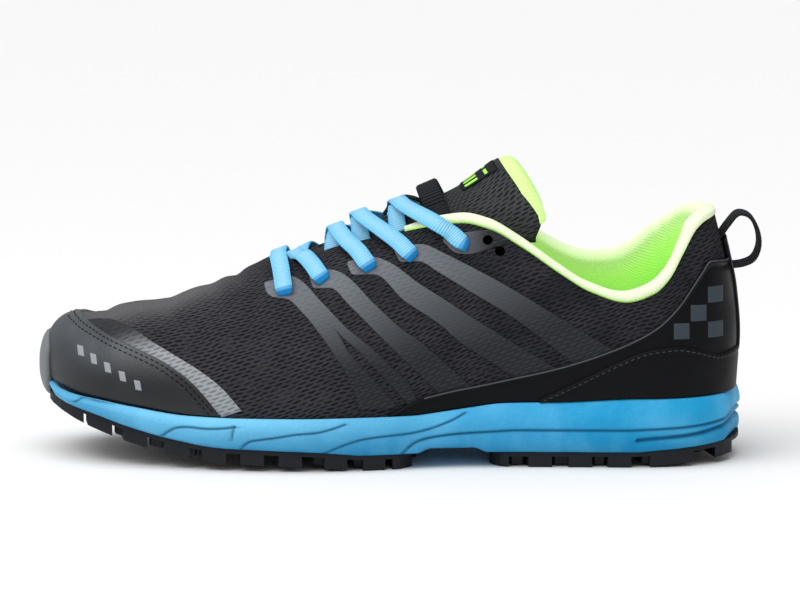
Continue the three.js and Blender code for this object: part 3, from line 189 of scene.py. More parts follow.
topHalf = between((
    (0, shape["throatHalf"], ((0.0, 0.55), (0.36, 0.7), (0.41, 0.86), (0.48, 1))),
    (shape["throatHalf"], shape["collarHalf"], (
        (0.54, 0.24), (0.6, 0.54), (0.655, 0.76), (0.72, 0.89), (0.8, 0.98), (0.86, 1))),
    (0, shape["collarHalf"], ((1.0, 0.92),))))
sectionRows = [  # station, low, out, down, bulge
    (0.0, 0.6, 0.72, 0.0, 0.5), (0.12, 0.55, 0.7, 0.0, 0.8), (0.3, 0.5, 0.6, 0.02, 1.0),
    (0.4, 0.46, 0.52, 0.1, 1.0), (0.5, 0.44, 0.5, 0.15, 0.9), (0.6, 0.42, 0.42, 0.22, 0.9),
    (0.7, 0.4, 0.3, 0.3, 1.0), (0.85, 0.38, 0.2, 0.32, 0.7), (1.0, 0.38, 0.2, 0.34, 0.6)]
lowHandle, outHandle, downHandle, bulgeShare = (curve(sectionRows, k) for k in (1, 2, 3, 4))
lean = shape["heelLean"]
tipRows = [  # level, toe inset, heel inset
    (0.0, sole["footbedInset"] + airGap, sole["footbedInset"] + airGap), (0.15, 3.7, 3.9),
    (0.35, 3.1, 0.27 * lean), (0.6, 3.2, 0.4 * lean), (0.8, 3.6, 0.66 * lean), (1.0, 4.6, lean)]
toeInset, heelInset = curve(tipRows, 1), curve(tipRows, 2)


def edgeHeight(side, s):
    rise = np.where(np.asarray(side) == medial, shape["medialRise"] * medialRise(s), 0)
    front = np.clip(1 - s / shape["toeTopReach"], 0, 1)
    start = footbedAt(0.0) + airGap + shape["toeWall"]
    return mix(start, topHeight(s), np.sqrt(1 - front * front)) + rise


def edgeHalf(s):
    front = np.clip((s - shape["throatStation"]) / shape["throatRound"], 0, 1)
    heel = np.clip(1 - (1 - s) / (tip["reach"] * 1.1), 0, 1)
    p = tip["power"]
    return topHalf(s) * np.sqrt(1 - (1 - front) ** 2) * (1 - heel ** p) ** (1 / p)


def bezier(a, b, c, d, t):
    u = 1 - t
    return u ** 3 * a + 3 * u * u * t * b + 3 * u * t * t * c + t ** 3 * d


def sectionPoint(side, s, t):
    x = toeInset(t) + (soleLong - heelInset(t) - toeInset(t)) * s
    softness = tipRound(s)
    base = halfAt(side, s) - sole["footbedInset"] - airGap
    opened = smooth((s - shape["throatStation"]) / shape["domeReach"])
    topBase = edgeHalf(s) * opened / np.maximum(softness, 1e-6)
    out = topBase + outHandle(s) * base * mix(1, 0.32, smooth((s - 0.5) / 0.22))
    half = bezier(base, base + shape["bulge"] * bulgeShare(s), out, topBase, t) * softness
    low = footbedAt(x) + airGap
    high = edgeHeight(side, s)
    rise = high - low
    return x, half, bezier(low, low + lowHandle(s) * rise, high - downHandle(s) * rise, high, t)


def findEnds():  # share of each section left below the edge of the opening, beside the throat
    rows = []
    for i in range(61):
        s = shape["throatStation"] + shape["domeReach"] * i / 60
        low, high = 0.5, 1.0
        for _ in range(22):
            m = (low + high) / 2
            if sectionPoint(lateral, s, m)[1] > edgeHalf(s):
                low = m
            else:
                high = m
        rows.append((s, 1.0 if i in (0, 60) else high))
    return curve(rows, 1)


sectionEnds = findEnds()
girthScale = 80  # a section's usual length from the sole to its top edge


# Creases pressed into the upper: side (0 both), x and level at both ends, width, depth.
creases = [
    (0, 82, 1.0, 84, 0.80, 3.2, 1.0), (0, 70, 1.0, 76, 0.62, 4.5, 0.45),
    (0, 58, 1.0, 66, 0.55, 5.0, 0.4), (0, 44, 1.0, 56, 0.6, 5.0, 0.35),
    (0, 21, 1.0, 27, 0.82, 3.5, 0.4), (0, 92, 0.72, 84, 0.42, 5.0, 0.5),
    (-1, 128, 0.55, 120, 0.2, 6.0, 0.35), (-1, 170, 0.5, 196, 0.42, 5.0, 0.45),
    (1, 126, 0.6, 112, 0.25, 6.0, 0.4), (1, 168, 0.55, 192, 0.4, 6.0, 0.4),
    (0, 222, 0.72, 236, 0.5, 6.0, 0.4)]


def creaseDepth(side, s, t):
    x = s * soleLong
    g = t * girthScale
    depth = np.zeros(np.broadcast(x, g).shape)
    for row in creases:
        x0, g0, x1, g1 = row[1], row[2] * girthScale, row[3], row[4] * girthScale
        run, rise = x1 - x0, g1 - g0
        f = np.clip(((x - x0) * run + (g - g0) * rise) / (run ** 2 + rise ** 2), 0, 1)
        d = np.hypot(x - x0 - f * run, g - g0 - f * rise) / row[5]
        here = np.where((row[0] == 0) | (np.asarray(side) == row[0]), 1.0, 0.0)
        depth += here * row[6] * (np.exp(-d * d) - 0.35 * np.exp(-(d - 1.7) ** 2))
    return depth


def sideOf(r):
    return np.where(np.mod(r, 2) <= 1, lateral, medial)


def stationOf(r):
    return (1 - np.cos(np.pi * r)) / 2


def ringOf(side, s):
    r = np.arccos(1 - 2 * np.clip(s, 0, 1)) / np.pi
    return np.where(np.asarray(side) == lateral, r, 2 - r)


def skinAt(r, t):
    s, side = stationOf(r), sideOf(r)
    x, half, z = sectionPoint(side, s, t * sectionEnds(s))
    y = swing(s) + side * half
    return np.stack(np.broadcast_arrays(x, y, z), -1)


def rawNormal(r, t):
    step = 0.002
    along = skinAt(r + step, t) - skinAt(r - step, t)
    up = skinAt(r, np.minimum(1, t + step)) - skinAt(r, np.maximum(0, t - step))
    return unit(np.cross(along, up))


def skinNormal(r, t):
    r, t = np.broadcast_arrays(np.asarray(r, float), np.asarray(t, float))
    n = rawNormal(r, t)
    s = stationOf(r)
    ends = (s < 1e-7) | (s > 1 - 1e-7)
    n[..., 1] = np.where(ends, 0, n[..., 1])
    nearRidge = smooth((t - 0.9) / 0.1) * (s <= shape["throatStation"] + 1e-6)
    other = rawNormal(2 - r, t)
    n = n + other * nearRidge[..., None]
    return n / np.linalg.norm(n, axis=-1, keepdims=True)


def skin(r, t, offset):
    r, t = np.broadcast_arrays(np.asarray(r, float), np.asarray(t, float))
    depth = creaseDepth(sideOf(r), stationOf(r), t)
    return skinAt(r, t) + skinNormal(r, t) * (np.asarray(offset) - depth)[..., None]


def levelAt(side, s, z):
    low = np.zeros(np.broadcast(s, z).shape)
    high = np.ones_like(low)
    for _ in range(20):
        m = (low + high) / 2
        under = skinAt(ringOf(side, s), m)[..., 2] < z
        low, high = np.where(under, m, low), np.where(under, high, m)
    return (low + high) / 2


def locate(side, x, z):  # ring and level of the skin point that shows at x, z from the side
    x, z = np.broadcast_arrays(np.asarray(x, float), np.asarray(z, float))
    s = x / soleLong
    for _ in range(5):
        t = levelAt(side, s, z)
        s = np.clip((x - toeInset(t)) / (soleLong - heelInset(t) - toeInset(t)), 0, 1)
    return ringOf(side, s), t


def loopRings(s):  # rings right round the shoe
    return np.concatenate([ringOf(lateral, s), ringOf(medial, s[1:-1][::-1])])


def heelRings(s):  # rings from the outer side round the heel to the inner side
    return np.concatenate([ringOf(lateral, s), ringOf(medial, s[:-1][::-1])])


# Meshes from point grids, in the part's frame and in metres.
def linked(name, data):
    obj = bpy.data.objects.new(name, data)
    bpy.context.scene.collection.objects.link(obj)
    return obj


def newObject(name, verts, faces, materials, uv=None, which=None):
    mesh = bpy.data.meshes.new(name)
    mesh.from_pydata(((np.asarray(verts) + origin) / 1000).tolist(), [], faces)
    for m in materials:
        mesh.materials.append(m)
    if uv is not None:
        layer = mesh.uv_layers.new(name="UVMap")
        index = np.zeros(len(mesh.loops), dtype=np.int32)
        mesh.loops.foreach_get("vertex_index", index)
        layer.data.foreach_set("uv", np.asarray(uv, float)[index].ravel())
    if which is not None:
        mesh.polygons.foreach_set("material_index", np.asarray(which, dtype=np.int32))
    obj = linked(name, mesh)
    bm = bmesh.new()
    bm.from_mesh(mesh)
    bmesh.ops.remove_doubles(bm, verts=bm.verts, dist=1e-6)
    bmesh.ops.recalc_face_normals(bm, faces=bm.faces)
    for f in bm.faces:
        f.smooth = True
    bm.to_mesh(mesh)
    bm.free()
    mesh.update()
    return obj


# Two faces of a wall and the strip that closes their open edges. A pinched row has both sides in one ridge.
def shell(name, outer, inner, uv, materials, loop=False, keep=None, pinched=None, inside=0):
    n, m = outer.shape[:2]
    verts = np.concatenate([outer.reshape(-1, 3), inner.reshape(-1, 3)])
    faces, which, edges = [], [], {}
    base = n * m
    for i in range(n if loop else n - 1):
        k = (i + 1) % n
        for j in range(m - 1):
            if keep is not None and not keep[i][j]:
                continue
            a, b, c, d = i * m + j, k * m + j, k * m + j + 1, i * m + j + 1
            faces.append((a, b, c, d))
            faces.append((base + d, base + c, base + b, base + a))
            which += [0, inside]
            for e in ((a, b), (b, c), (c, d), (d, a)):
                if (e[1], e[0]) in edges:
                    del edges[(e[1], e[0])]
                else:
                    edges[e] = True
    for a, b in edges:
        onTop = a % m == m - 1 and b % m == m - 1
        if pinched is not None and onTop and pinched[a // m] and pinched[b // m]:
            continue
        faces.append((b, a, base + a, base + b))
        which.append(inside)
    uvAll = np.concatenate([uv.reshape(-1, 2), uv.reshape(-1, 2)])
    return newObject(name, verts, faces, materials, uvAll, which)


def loftRows(name, rows, materials, uv=None):  # closed sections one after another
    n, m = rows.shape[:2]
    faces = []
    for i in range(n - 1):
        for j in range(m):
            q = (j + 1) % m
            faces.append((i * m + j, (i + 1) * m + j, (i + 1) * m + q, i * m + q))
    faces.append(tuple(range(m)))
    faces.append(tuple((n - 1) * m + j for j in range(m))[::-1])
    return newObject(name, rows.reshape(-1, 3), faces, materials, None if uv is None else uv.reshape(-1, 2))


def turned(count):
    return np.linspace(0, 2 * np.pi, count + 1)[:-1]


def squared(v, power):  # a cosine or sine made fuller, for a section with rounded corners
    return np.sign(v) * np.abs(v) ** power


def swept(name, centre, across, outward, wide, tall, material, uv=None):  # one section along a path
    rows = centre[:, None, :] + across[:, None, :] * wide[..., None] + outward[:, None, :] * tall[..., None]
    return loftRows(name, rows, [material], uv)


# Plan rings of the sole one over another, closed by a ladder of faces.
def stackRows(name, rows, materials, uv=None):
    count, n = rows.shape[:2]
    faces = []
    for level in range(count - 1):
        for k in range(n):
            q = (k + 1) % n
            faces.append((level * n + k, level * n + q, (level + 1) * n + q, (level + 1) * n + k))
    for level in (0, count - 1):
        for k in range(n // 2):
            corners = [level * n + i for i in (k, k + 1, (n - k - 1) % n, (n - k) % n)]
            corners = list(dict.fromkeys(corners))
            if len(corners) > 2:
                faces.append(tuple(corners))
    pts = rows.reshape(-1, 3)
    return newObject(name, pts, faces, materials, pts[:, :2] if uv is None else uv.reshape(-1, 2))


def ride(obj, nodes):
    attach(obj, "root")
    if nodes:
        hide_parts(*nodes)
    return obj


def removed(obj):
    mesh = obj.data
    bpy.data.objects.remove(obj)
    bpy.data.meshes.remove(mesh)


def joined(name, objects):
    bm = bmesh.new()
    materials = []
    for o in objects:
        first = len(bm.faces)
        bm.from_mesh(o.data)
        bm.faces.ensure_lookup_table()
        for m in o.data.materials:
            if m not in materials:
                materials.append(m)
        lookup = [materials.index(m) for m in o.data.materials]
        for f in bm.faces[first:]:
            f.material_index = lookup[f.material_index]
    mesh = bpy.data.meshes.new(name)
    bm.to_mesh(mesh)
    bm.free()
    for m in materials:
        mesh.materials.append(m)
    whole = linked(name, mesh)
    for o in objects:
        removed(o)
    return whole


def applied(obj):  # its modifiers turned into plain mesh
    graph = bpy.context.evaluated_depsgraph_get()
    graph.update()
    result = bpy.data.meshes.new_from_object(obj.evaluated_get(graph))
    old = obj.data
    obj.modifiers.clear()
    obj.data = result
    bpy.data.meshes.remove(old)
    return obj


def shaded(obj, soft):
    for face in obj.data.polygons:
        face.use_smooth = soft
    return obj


def smoothPath(rows, count):  # points along a smooth line through the rows, evenly spaced
    pts = np.asarray(rows, float)
    along = lengthAlong(pts)
    dense = np.linspace(0, along[-1], count * 6)
    table = np.concatenate([along[:, None], pts], axis=1)
    line = np.stack([curve(table, k + 1)(dense) for k in range(pts.shape[1])], -1)
    length = lengthAlong(line)
    even = np.linspace(0, length[-1], count)
    return np.stack([np.interp(even, length, line[:, k]) for k in range(pts.shape[1])], -1)


def girthOf(points):
    steps = np.linalg.norm(np.diff(points, axis=1), axis=-1)
    return np.concatenate([np.zeros((points.shape[0], 1)), np.cumsum(steps, axis=1)], axis=1)


# Small helpers for node materials.
def newMaterial(name, color, roughness, **sockets):
    m = bpy.data.materials.new(name)
    m.use_nodes = True
    p = m.node_tree.nodes["Principled BSDF"]
    p.inputs["Base Color"].default_value = (*color, 1)
    p.inputs["Roughness"].default_value = roughness
    for key, value in sockets.items():
        p.inputs[key.replace("_", " ")].default_value = value
    return m


class nodeKit:
    def __init__(self, material):
        self.tree = material.node_tree
        self.shader = self.tree.nodes["Principled BSDF"]

    def add(self, kind, **settings):
        node = self.tree.nodes.new(kind)
        for key, value in settings.items():
            setattr(node, key, value)
        return node

    def link(self, a, b):
        self.tree.links.new(a, b)

    def math(self, op, a, b=None, c=None):
        node = self.add("ShaderNodeMath", operation=op)
        for i, v in enumerate((a, b, c)):
            if v is None:
                continue
            if isinstance(v, (int, float)):
                node.inputs[i].default_value = v
            else:
                self.link(v, node.inputs[i])
        return node.outputs[0]

    def plus(self, *terms):
        total = terms[0]
        for term in terms[1:]:
            total = self.math("ADD", total, term)
        return total

    def minus(self, a, b):
        return self.math("SUBTRACT", a, b)

    def times(self, a, b):
        return self.math("MULTIPLY", a, b)

    def over(self, a, b):
        return self.math("DIVIDE", a, b)

    def sine(self, value, rate):
        return self.math("SINE", self.times(value, rate))

    def slits(self, along, row, pitch, tall):  # distance from the middle of staggered slits, 1 at their edge
        shift = self.math("FRACT", self.times(self.math("FLOOR", row), 0.618))
        a = self.minus(self.math("FRACT", self.plus(self.over(along, pitch), shift)), 0.5)
        b = self.minus(self.math("FRACT", row), 0.5)
        square = [self.math("POWER", self.over(*pair), 2) for pair in ((a, 0.44), (b, tall))]
        return self.math("SQRT", self.plus(*square))

    def uv(self):
        node = self.add("ShaderNodeSeparateXYZ")
        self.link(self.add("ShaderNodeUVMap", uv_map="UVMap").outputs[0], node.inputs[0])
        return node.outputs[0], node.outputs[1]

    def objectPoint(self):
        return self.add("ShaderNodeTexCoord").outputs["Object"]

    def place(self):  # x, y and z of the shaded point, in metres
        node = self.add("ShaderNodeSeparateXYZ")
        self.link(self.objectPoint(), node.inputs[0])
        return node.outputs

    def noise(self, scale, detail=3, rough=0.5, vector=None):
        node = self.add("ShaderNodeTexNoise")
        node.inputs["Scale"].default_value = scale
        node.inputs["Detail"].default_value = detail
        node.inputs["Roughness"].default_value = rough
        self.link(vector if vector is not None else self.objectPoint(), node.inputs["Vector"])
        return node.outputs["Fac"]

    def voronoi(self, scale, feature="F1", vector=None):
        node = self.add("ShaderNodeTexVoronoi", feature=feature)
        node.inputs["Scale"].default_value = scale
        self.link(vector if vector is not None else self.objectPoint(), node.inputs["Vector"])
        return node.outputs["Distance"]

    def ramp(self, value, low, high, a=0.0, b=1.0):
        node = self.add("ShaderNodeMapRange", interpolation_type="SMOOTHSTEP")
        given = {"Value": value, "From Min": low, "From Max": high, "To Min": a, "To Max": b}
        for key, v in given.items():
            if isinstance(v, (int, float)):
                node.inputs[key].default_value = v
            else:
                self.link(v, node.inputs[key])
        return node.outputs[0]

    def blend(self, factor, a, b):
        node = self.add("ShaderNodeMix", data_type="RGBA")
        for i, v in ((0, factor), (6, a), (7, b)):
            if isinstance(v, tuple):
                node.inputs[i].default_value = (*v, 1)
            elif isinstance(v, (int, float)):
                node.inputs[i].default_value = v
            else:
                self.link(v, node.inputs[i])
        return node.outputs[2]

    def bump(self, height, strength, distance, under=None):
        node = self.add("ShaderNodeBump")
        node.inputs["Strength"].default_value = strength
        node.inputs["Distance"].default_value = distance
        self.link(height, node.inputs["Height"])
        if under is not None:
            self.link(under, node.inputs["Normal"])
        return node.outputs[0]

    def finish(self, color=None, roughness=None, normal=None):
        if color is not None:
            self.link(color, self.shader.inputs["Base Color"])
        if roughness is not None:
            self.link(roughness, self.shader.inputs["Roughness"])
        if normal is not None:
            self.link(normal, self.shader.inputs["Normal"])


def linear(r, g, b):  # a screen colour from 0 to 255 as the shader wants it
    return tuple(v / 255 / 12.92 if v <= 10 else ((v / 255 + 0.055) / 1.055) ** 2.4 for v in (r, g, b))


def scaled(color, factor):
    return tuple(min(1, c * factor) for c in color)


meshDrift = dict(slope=-0.34, blur=90, sway=3.2)  # how the rows of slits run over the cloth


# Slits in slanted rows on a fine knit; crest is the colour on top of the vamp.
def meshFabric(name, front, rear, rowPitch, slitPitch, lift, crest=None):
    m = newMaterial(name, front, 0.86, Specular_IOR_Level=0.12)
    k = nodeKit(m)
    u, v = k.uv()
    wave = k.times(k.sine(u, 0.3), 0.35)
    drift = k.times(k.noise(meshDrift["blur"], 2), meshDrift["sway"])
    row = k.over(k.plus(v, wave, k.times(u, meshDrift["slope"]), drift), rowPitch)
    hole = k.ramp(k.slits(u, row, slitPitch, 0.27), 0.6, 1.15, 1.0, 0.0)
    hole = k.times(hole, k.ramp(k.noise(240, 2), 0.3, 0.55, 0.45, 1.0))
    knit = k.times(k.sine(u, 7.5), k.sine(v, 8.5))
    tone = k.blend(k.ramp(u, 70, 215), front, rear)
    tone = k.blend(k.ramp(k.noise(70, 3), 0.3, 0.75, 0.0, 0.35), tone, scaled(front, 1.7))
    if crest is not None:  # it catches more light there and shows fewer holes
        x, y, _ = k.place()
        top = k.ramp(k.math("ABSOLUTE", k.minus(y, 0.004)), 0.008, 0.03, 1.0, 0.0)
        top = k.times(top, k.ramp(x, -0.085, -0.05, 1.0, 0.0))
        hole = k.times(hole, k.minus(1.0, k.times(top, 0.85)))
        tone = k.blend(k.times(top, 0.8), tone, crest)
    rib = k.times(k.plus(knit, 1.0), 0.12)
    color = k.blend(k.plus(k.times(hole, 0.86), rib), tone, scaled(front, 0.12))
    k.finish(color, None, k.bump(k.minus(k.times(knit, 0.16), hole), lift, 0.0006))
    return m


def grainSynthetic(name, base, roughness, grain, strength, above=None, **extra):
    m = newMaterial(name, base, roughness, **extra)
    k = nodeKit(m)
    height = k.plus(k.times(k.voronoi(grain), 0.7), k.times(k.noise(grain * 2.3, 3), 0.5))
    smudge = k.noise(35, 4)
    tone = base
    if above is not None:  # the colour where the cap turns up to the light
        x, _, z = k.place()
        tone = k.blend(k.ramp(k.plus(z, k.times(x, -0.2)), 0.054, 0.08), base, above)
    worn = k.blend(k.times(k.ramp(smudge, 0.3, 0.75), 0.6), tone, scaled(base, 1.35))
    rough = k.ramp(smudge, 0.3, 0.7, roughness - 0.06, roughness + 0.1)
    k.finish(worn, rough, k.bump(height, strength, 0.0002))
    return m


def wovenBand(name, base, light, ribPitch, depth):
    m = newMaterial(name, base, 0.8, Specular_IOR_Level=0.12)
    k = nodeKit(m)
    u, v = k.uv()
    ribs = k.sine(u, 2 * math.pi / ribPitch)
    across = k.sine(v, 2 * math.pi / (ribPitch * 0.8))
    height = k.plus(ribs, k.times(across, 0.6), k.noise(900, 2))
    k.finish(k.blend(k.ramp(ribs, -1, 0.6), base, light), None, k.bump(height, depth, 0.00025))
    return m


# Blue foam: its lighter front is painted light, and the deep colour low on its sides and in its pressed lines
# is painted shade.
def foamMaterial(name, front, rear, deep):
    m = newMaterial(name, front, 0.55, Specular_IOR_Level=0.2)
    k = nodeKit(m)
    x, _, z = k.place()
    _, grooveShade = k.uv()
    wrinkle = k.noise(420, 4, 0.6)
    height = k.plus(wrinkle, k.times(k.voronoi(560), 0.9))
    dust = k.ramp(k.noise(45, 3), 0.35, 0.75)
    rise = k.minus(z, k.ramp(x, -0.15, -0.075, 0.016, 0.0))
    # painted light: lighter towards the front; painted shade: the deep colour low on the side
    tone = k.blend(k.ramp(x, -0.08, 0.08), front, rear)
    tone = k.blend(k.ramp(rise, 0.006, 0.024, 0.85, 0.0), tone, deep)
    tone = k.blend(k.times(dust, 0.25), tone, scaled(front, 1.25))
    # painted shade: darker in the pressed lines
    k.finish(k.blend(k.times(grooveShade, 0.8), tone, scaled(deep, 0.4)),
             k.ramp(wrinkle, 0.3, 0.7, 0.46, 0.64), k.bump(height, 0.5, 0.0004))
    return m


knitValues = dict(
    fringeStart=3.5, fringeEnd=5.4, fringeGlow=(0.12, 0.12, 0.06), fadeIn=20, shadeStart=8, shadeEnd=34)


# A knit lining, with a painted highlight at the rim and painted shade deeper inside; its deep colour also
# fills the gaps of the knit. rimEnd is how far the rim reaches in, and glow is a painted glow, emission in
# the lining's colour.
def knitMaterial(name, rimHighlight, base, deep, pitch, rimEnd=None, glow=0.0):
    m = newMaterial(name, base, 0.92, Specular_IOR_Level=0.1, Sheen_Weight=0.1, Sheen_Roughness=0.5,
                    Emission_Strength=glow)
    k = nodeKit(m)
    u, v = k.uv()
    knit = k.times(k.sine(u, 2 * math.pi / pitch), k.sine(v, 2 * math.pi / pitch))
    tone = base
    k.shader.inputs["Emission Color"].default_value = (*base, 1)
    if rimEnd is not None:
        fringe = k.plus(v, k.times(k.noise(700, 2), 2.4))
        fringe = k.ramp(fringe, knitValues["fringeStart"], knitValues["fringeEnd"])
        inside = k.ramp(v, rimEnd, rimEnd + knitValues["fadeIn"])
        below = k.ramp(v, rimEnd + knitValues["shadeStart"], rimEnd + knitValues["shadeEnd"])
        # painted highlight at the rim's fringe, painted shade further in; the second copy colours the painted
        # glow
        tone, bright = (k.blend(below, k.blend(inside, k.blend(fringe, base, edge), base), deep)
                        for edge in (rimHighlight, knitValues["fringeGlow"]))
        k.link(bright, k.shader.inputs["Emission Color"])
    color = k.blend(k.ramp(knit, -0.9, 0.2), k.blend(0.2, tone, deep), tone)
    k.finish(color, None, k.bump(k.plus(knit, k.noise(500, 2)), 0.45, 0.0003))
    return m


meshRow, meshSlit = 1.55, 4.4  # pitch of the upper's rows and slits in millimetres
meshBlack = meshFabric(
    "upperMesh", linear(58, 58, 64), linear(40, 41, 46), meshRow, meshSlit, 1.0, linear(112, 112, 114))
tongueMesh = meshFabric("tongueMesh", linear(66, 68, 70), linear(60, 62, 65), 1.35, 3.6, 0.8)
capSkin = grainSynthetic(
    "capSkin", linear(30, 31, 34), 0.38, 900, 0.3, linear(72, 77, 83), Specular_IOR_Level=0.35)
wingSkin = grainSynthetic("wingSkin", linear(10, 11, 14), 0.5, 800, 0.35, Specular_IOR_Level=0.11)
rubberSkin = grainSynthetic("treadRubber", linear(25, 28, 33), 0.6, 1200, 0.3, Specular_IOR_Level=0.22)
bumperSkin = grainSynthetic("bumperRubber", linear(104, 108, 111), 0.5, 1000, 0.3, Specular_IOR_Level=0.4)
foamBlue = foamMaterial("foamBlue", linear(116, 196, 234), linear(28, 156, 210), linear(0, 124, 174))
# limeKnit: the pale rim colour is a painted highlight, the deeper lime inside is painted shade, and 0.48 is a
# painted glow
limeKnit = knitMaterial(
    "limeKnit", linear(244, 250, 222), linear(188, 251, 116), linear(156, 244, 96), 1.1, 10.0, 0.48)
# tongueLime: its 0.3 is a painted glow
tongueLime = knitMaterial("tongueLime", None, linear(204, 250, 150), linear(150, 240, 90), 1.1, None, 0.3)
insoleCloth = knitMaterial("insoleCloth", None, linear(44, 46, 50), linear(24, 25, 28), 0.9)
webBlack = wovenBand("webBlack", linear(20, 22, 24), linear(48, 51, 55), 1.0, 0.8)
threadDark = newMaterial("threadDark", linear(14, 15, 18), 0.7, Specular_IOR_Level=0.1)
threadGrey = newMaterial("threadGrey", linear(62, 64, 69), 0.7, Specular_IOR_Level=0.2)
# pipeGrey also colours the wing's edge cord, where its light grey is a painted edge highlight
pipeGrey = newMaterial("pipeGrey", linear(70, 72, 76), 0.55, Specular_IOR_Level=0.2)
slatePrint = newMaterial("slatePrint", linear(56, 64, 72), 0.6, Specular_IOR_Level=0.2)
markGrey = newMaterial("markGrey", linear(142, 148, 154), 0.5, Specular_IOR_Level=0.3)
labelLime = newMaterial("labelLime", linear(176, 240, 100), 0.7, Specular_IOR_Level=0.1)
holeDark = newMaterial("holeDark", linear(9, 9, 11), 0.9, Specular_IOR_Level=0.05)


laceValues = dict(width=7.3, thickness=1.35, lift=2.0, foot=5.2, rib=1.05)


def laceWeave():  # woven ribs across, a painted highlight along its middle, and painted shade, darker and more saturated, where it dives into its eyelet
    m = newMaterial("laceBlue", linear(96, 190, 238), 0.78, Specular_IOR_Level=0.15)
    k = nodeKit(m)
    u, v = k.uv()
    ribs = k.sine(u, 2 * math.pi / laceValues["rib"])
    height = k.plus(ribs, k.times(k.sine(v, 2 * math.pi / 0.7), 0.45))
    # painted highlight: lighter along the lace's middle
    middle = k.ramp(k.math("ABSOLUTE", v), 0.6, 3.3, 1.0, 0.0)
    woven = k.blend(k.ramp(ribs, -0.9, 0.5), linear(92, 188, 238), linear(140, 212, 247))
    woven = k.blend(k.times(middle, 0.55), woven, linear(172, 224, 248))
    # painted shade where the lace dives into its eyelet
    foot = k.ramp(u, laceValues["foot"] - 0.2, laceValues["foot"] + 2)
    k.finish(k.blend(foot, linear(30, 138, 206), woven), None, k.bump(height, 0.6, 0.00025))
    return m


# A thin film with the cloth's slits showing through; start and end are shares of its length.
def filmFinish(name, light, dark, start, end, show):
    m = newMaterial(name, light, 0.6, Specular_IOR_Level=0.2)
    k = nodeKit(m)
    x, _, z = (k.times(value, 1000.0) for value in k.place())
    u, _ = k.uv()
    drift = k.times(k.noise(meshDrift["blur"], 2), meshDrift["sway"])
    row = k.over(k.plus(z, k.plus(k.times(x, meshDrift["slope"]), drift)), meshRow)
    slit = k.ramp(k.slits(x, row, meshSlit, 0.3), 0.5, 1.2, 1.0, 0.0)
    tone = k.blend(k.ramp(u, start, end), light, dark)
    k.finish(k.blend(k.times(slit, show), tone, scaled(light, 0.35)), None,
             k.bump(k.times(slit, -1.0), 0.3, 0.0003))
    return m


laceBlue = laceWeave()
stripeFilm = filmFinish("stripeFilm", linear(110, 115, 121), linear(32, 33, 38), 0.02, 0.8, 0.3)
bandFilm = filmFinish("bandFilm", linear(44, 45, 49), linear(150, 154, 159), 0.14, 0.46, 0.5)
print("stage: materials")

# The upper: one hollow wall with its eyelets punched through.
upperValues = dict(stations=200, levels=88, eyeletRadius=2.1, eyeletSides=20)


def makeUpper():
    throat = shape["throatStation"]
    near = throat + np.array([0, 0.001, 0.003, 0.006, 0.01, 0.015, 0.02])
    stations = np.concatenate([cosineSteps(upperValues["stations"]), near])
    rings = loopRings(np.unique(np.round(stations, 7)))
    levels = np.linspace(0, 1, upperValues["levels"])
    ringGrid, levelGrid = np.meshgrid(rings, levels, indexing="ij")
    outer = skin(ringGrid, levelGrid, 0)
    inner = skin(ringGrid, levelGrid, -shape["wall"])
    uv = np.stack([outer[..., 0], girthOf(outer)], -1)
    pinched = stationOf(rings) <= throat + 1e-6
    return shell("upperShell", outer, inner, uv, [meshBlack], loop=True, pinched=pinched)


eyeletRows = [  # x, height
    (0.353 * soleLong, mix(rimLow, throatTop, 0.81)), (0.405 * soleLong, mix(rimLow, throatTop, 0.9)),
    (0.47 * soleLong, mix(rimLow, throatTop, 0.985)), (0.529 * soleLong, mix(throatTop, collarTop, 0.22)),
    (0.602 * soleLong, mix(throatTop, collarTop, 0.52)), (0.637 * soleLong, mix(throatTop, collarTop, 0.62)),
    (0.654 * soleLong, mix(throatTop, collarTop, 0.36))]


def eyeletPlace(side, k):
    r, t = locate(side, eyeletRows[k][0], eyeletRows[k][1])
    return float(r), float(t)


def eyeletCutter(side, name):
    bm = bmesh.new()
    for k in range(len(eyeletRows)):
        r, t = eyeletPlace(side, k)
        centre = (skin(r, t, -1.3) + origin) / 1000
        turn = Vector(skinNormal(r, t)).to_track_quat("Z", "Y").to_matrix().to_4x4()
        turn.translation = Vector(centre)
        radius = upperValues["eyeletRadius"] / 1000
        bmesh.ops.create_cone(bm, cap_ends=True, segments=upperValues["eyeletSides"], radius1=radius,
                              radius2=radius, depth=0.009, matrix=turn)
    mesh = bpy.data.meshes.new(name)
    bm.to_mesh(mesh)
    bm.free()
    return linked(name, mesh)


def punched(obj, cutters):
    for cutter in cutters:
        mod = obj.modifiers.new("punch", "BOOLEAN")
        mod.operation = "DIFFERENCE"
        mod.solver = "EXACT"
        mod.object = cutter
    return shaded(applied(obj), True)


cutters = {side: eyeletCutter(side, f"cutter{word}") for side, word in sideWords}
ride(punched(makeUpper(), cutters.values()), ["upper"])
print("stage: upper")


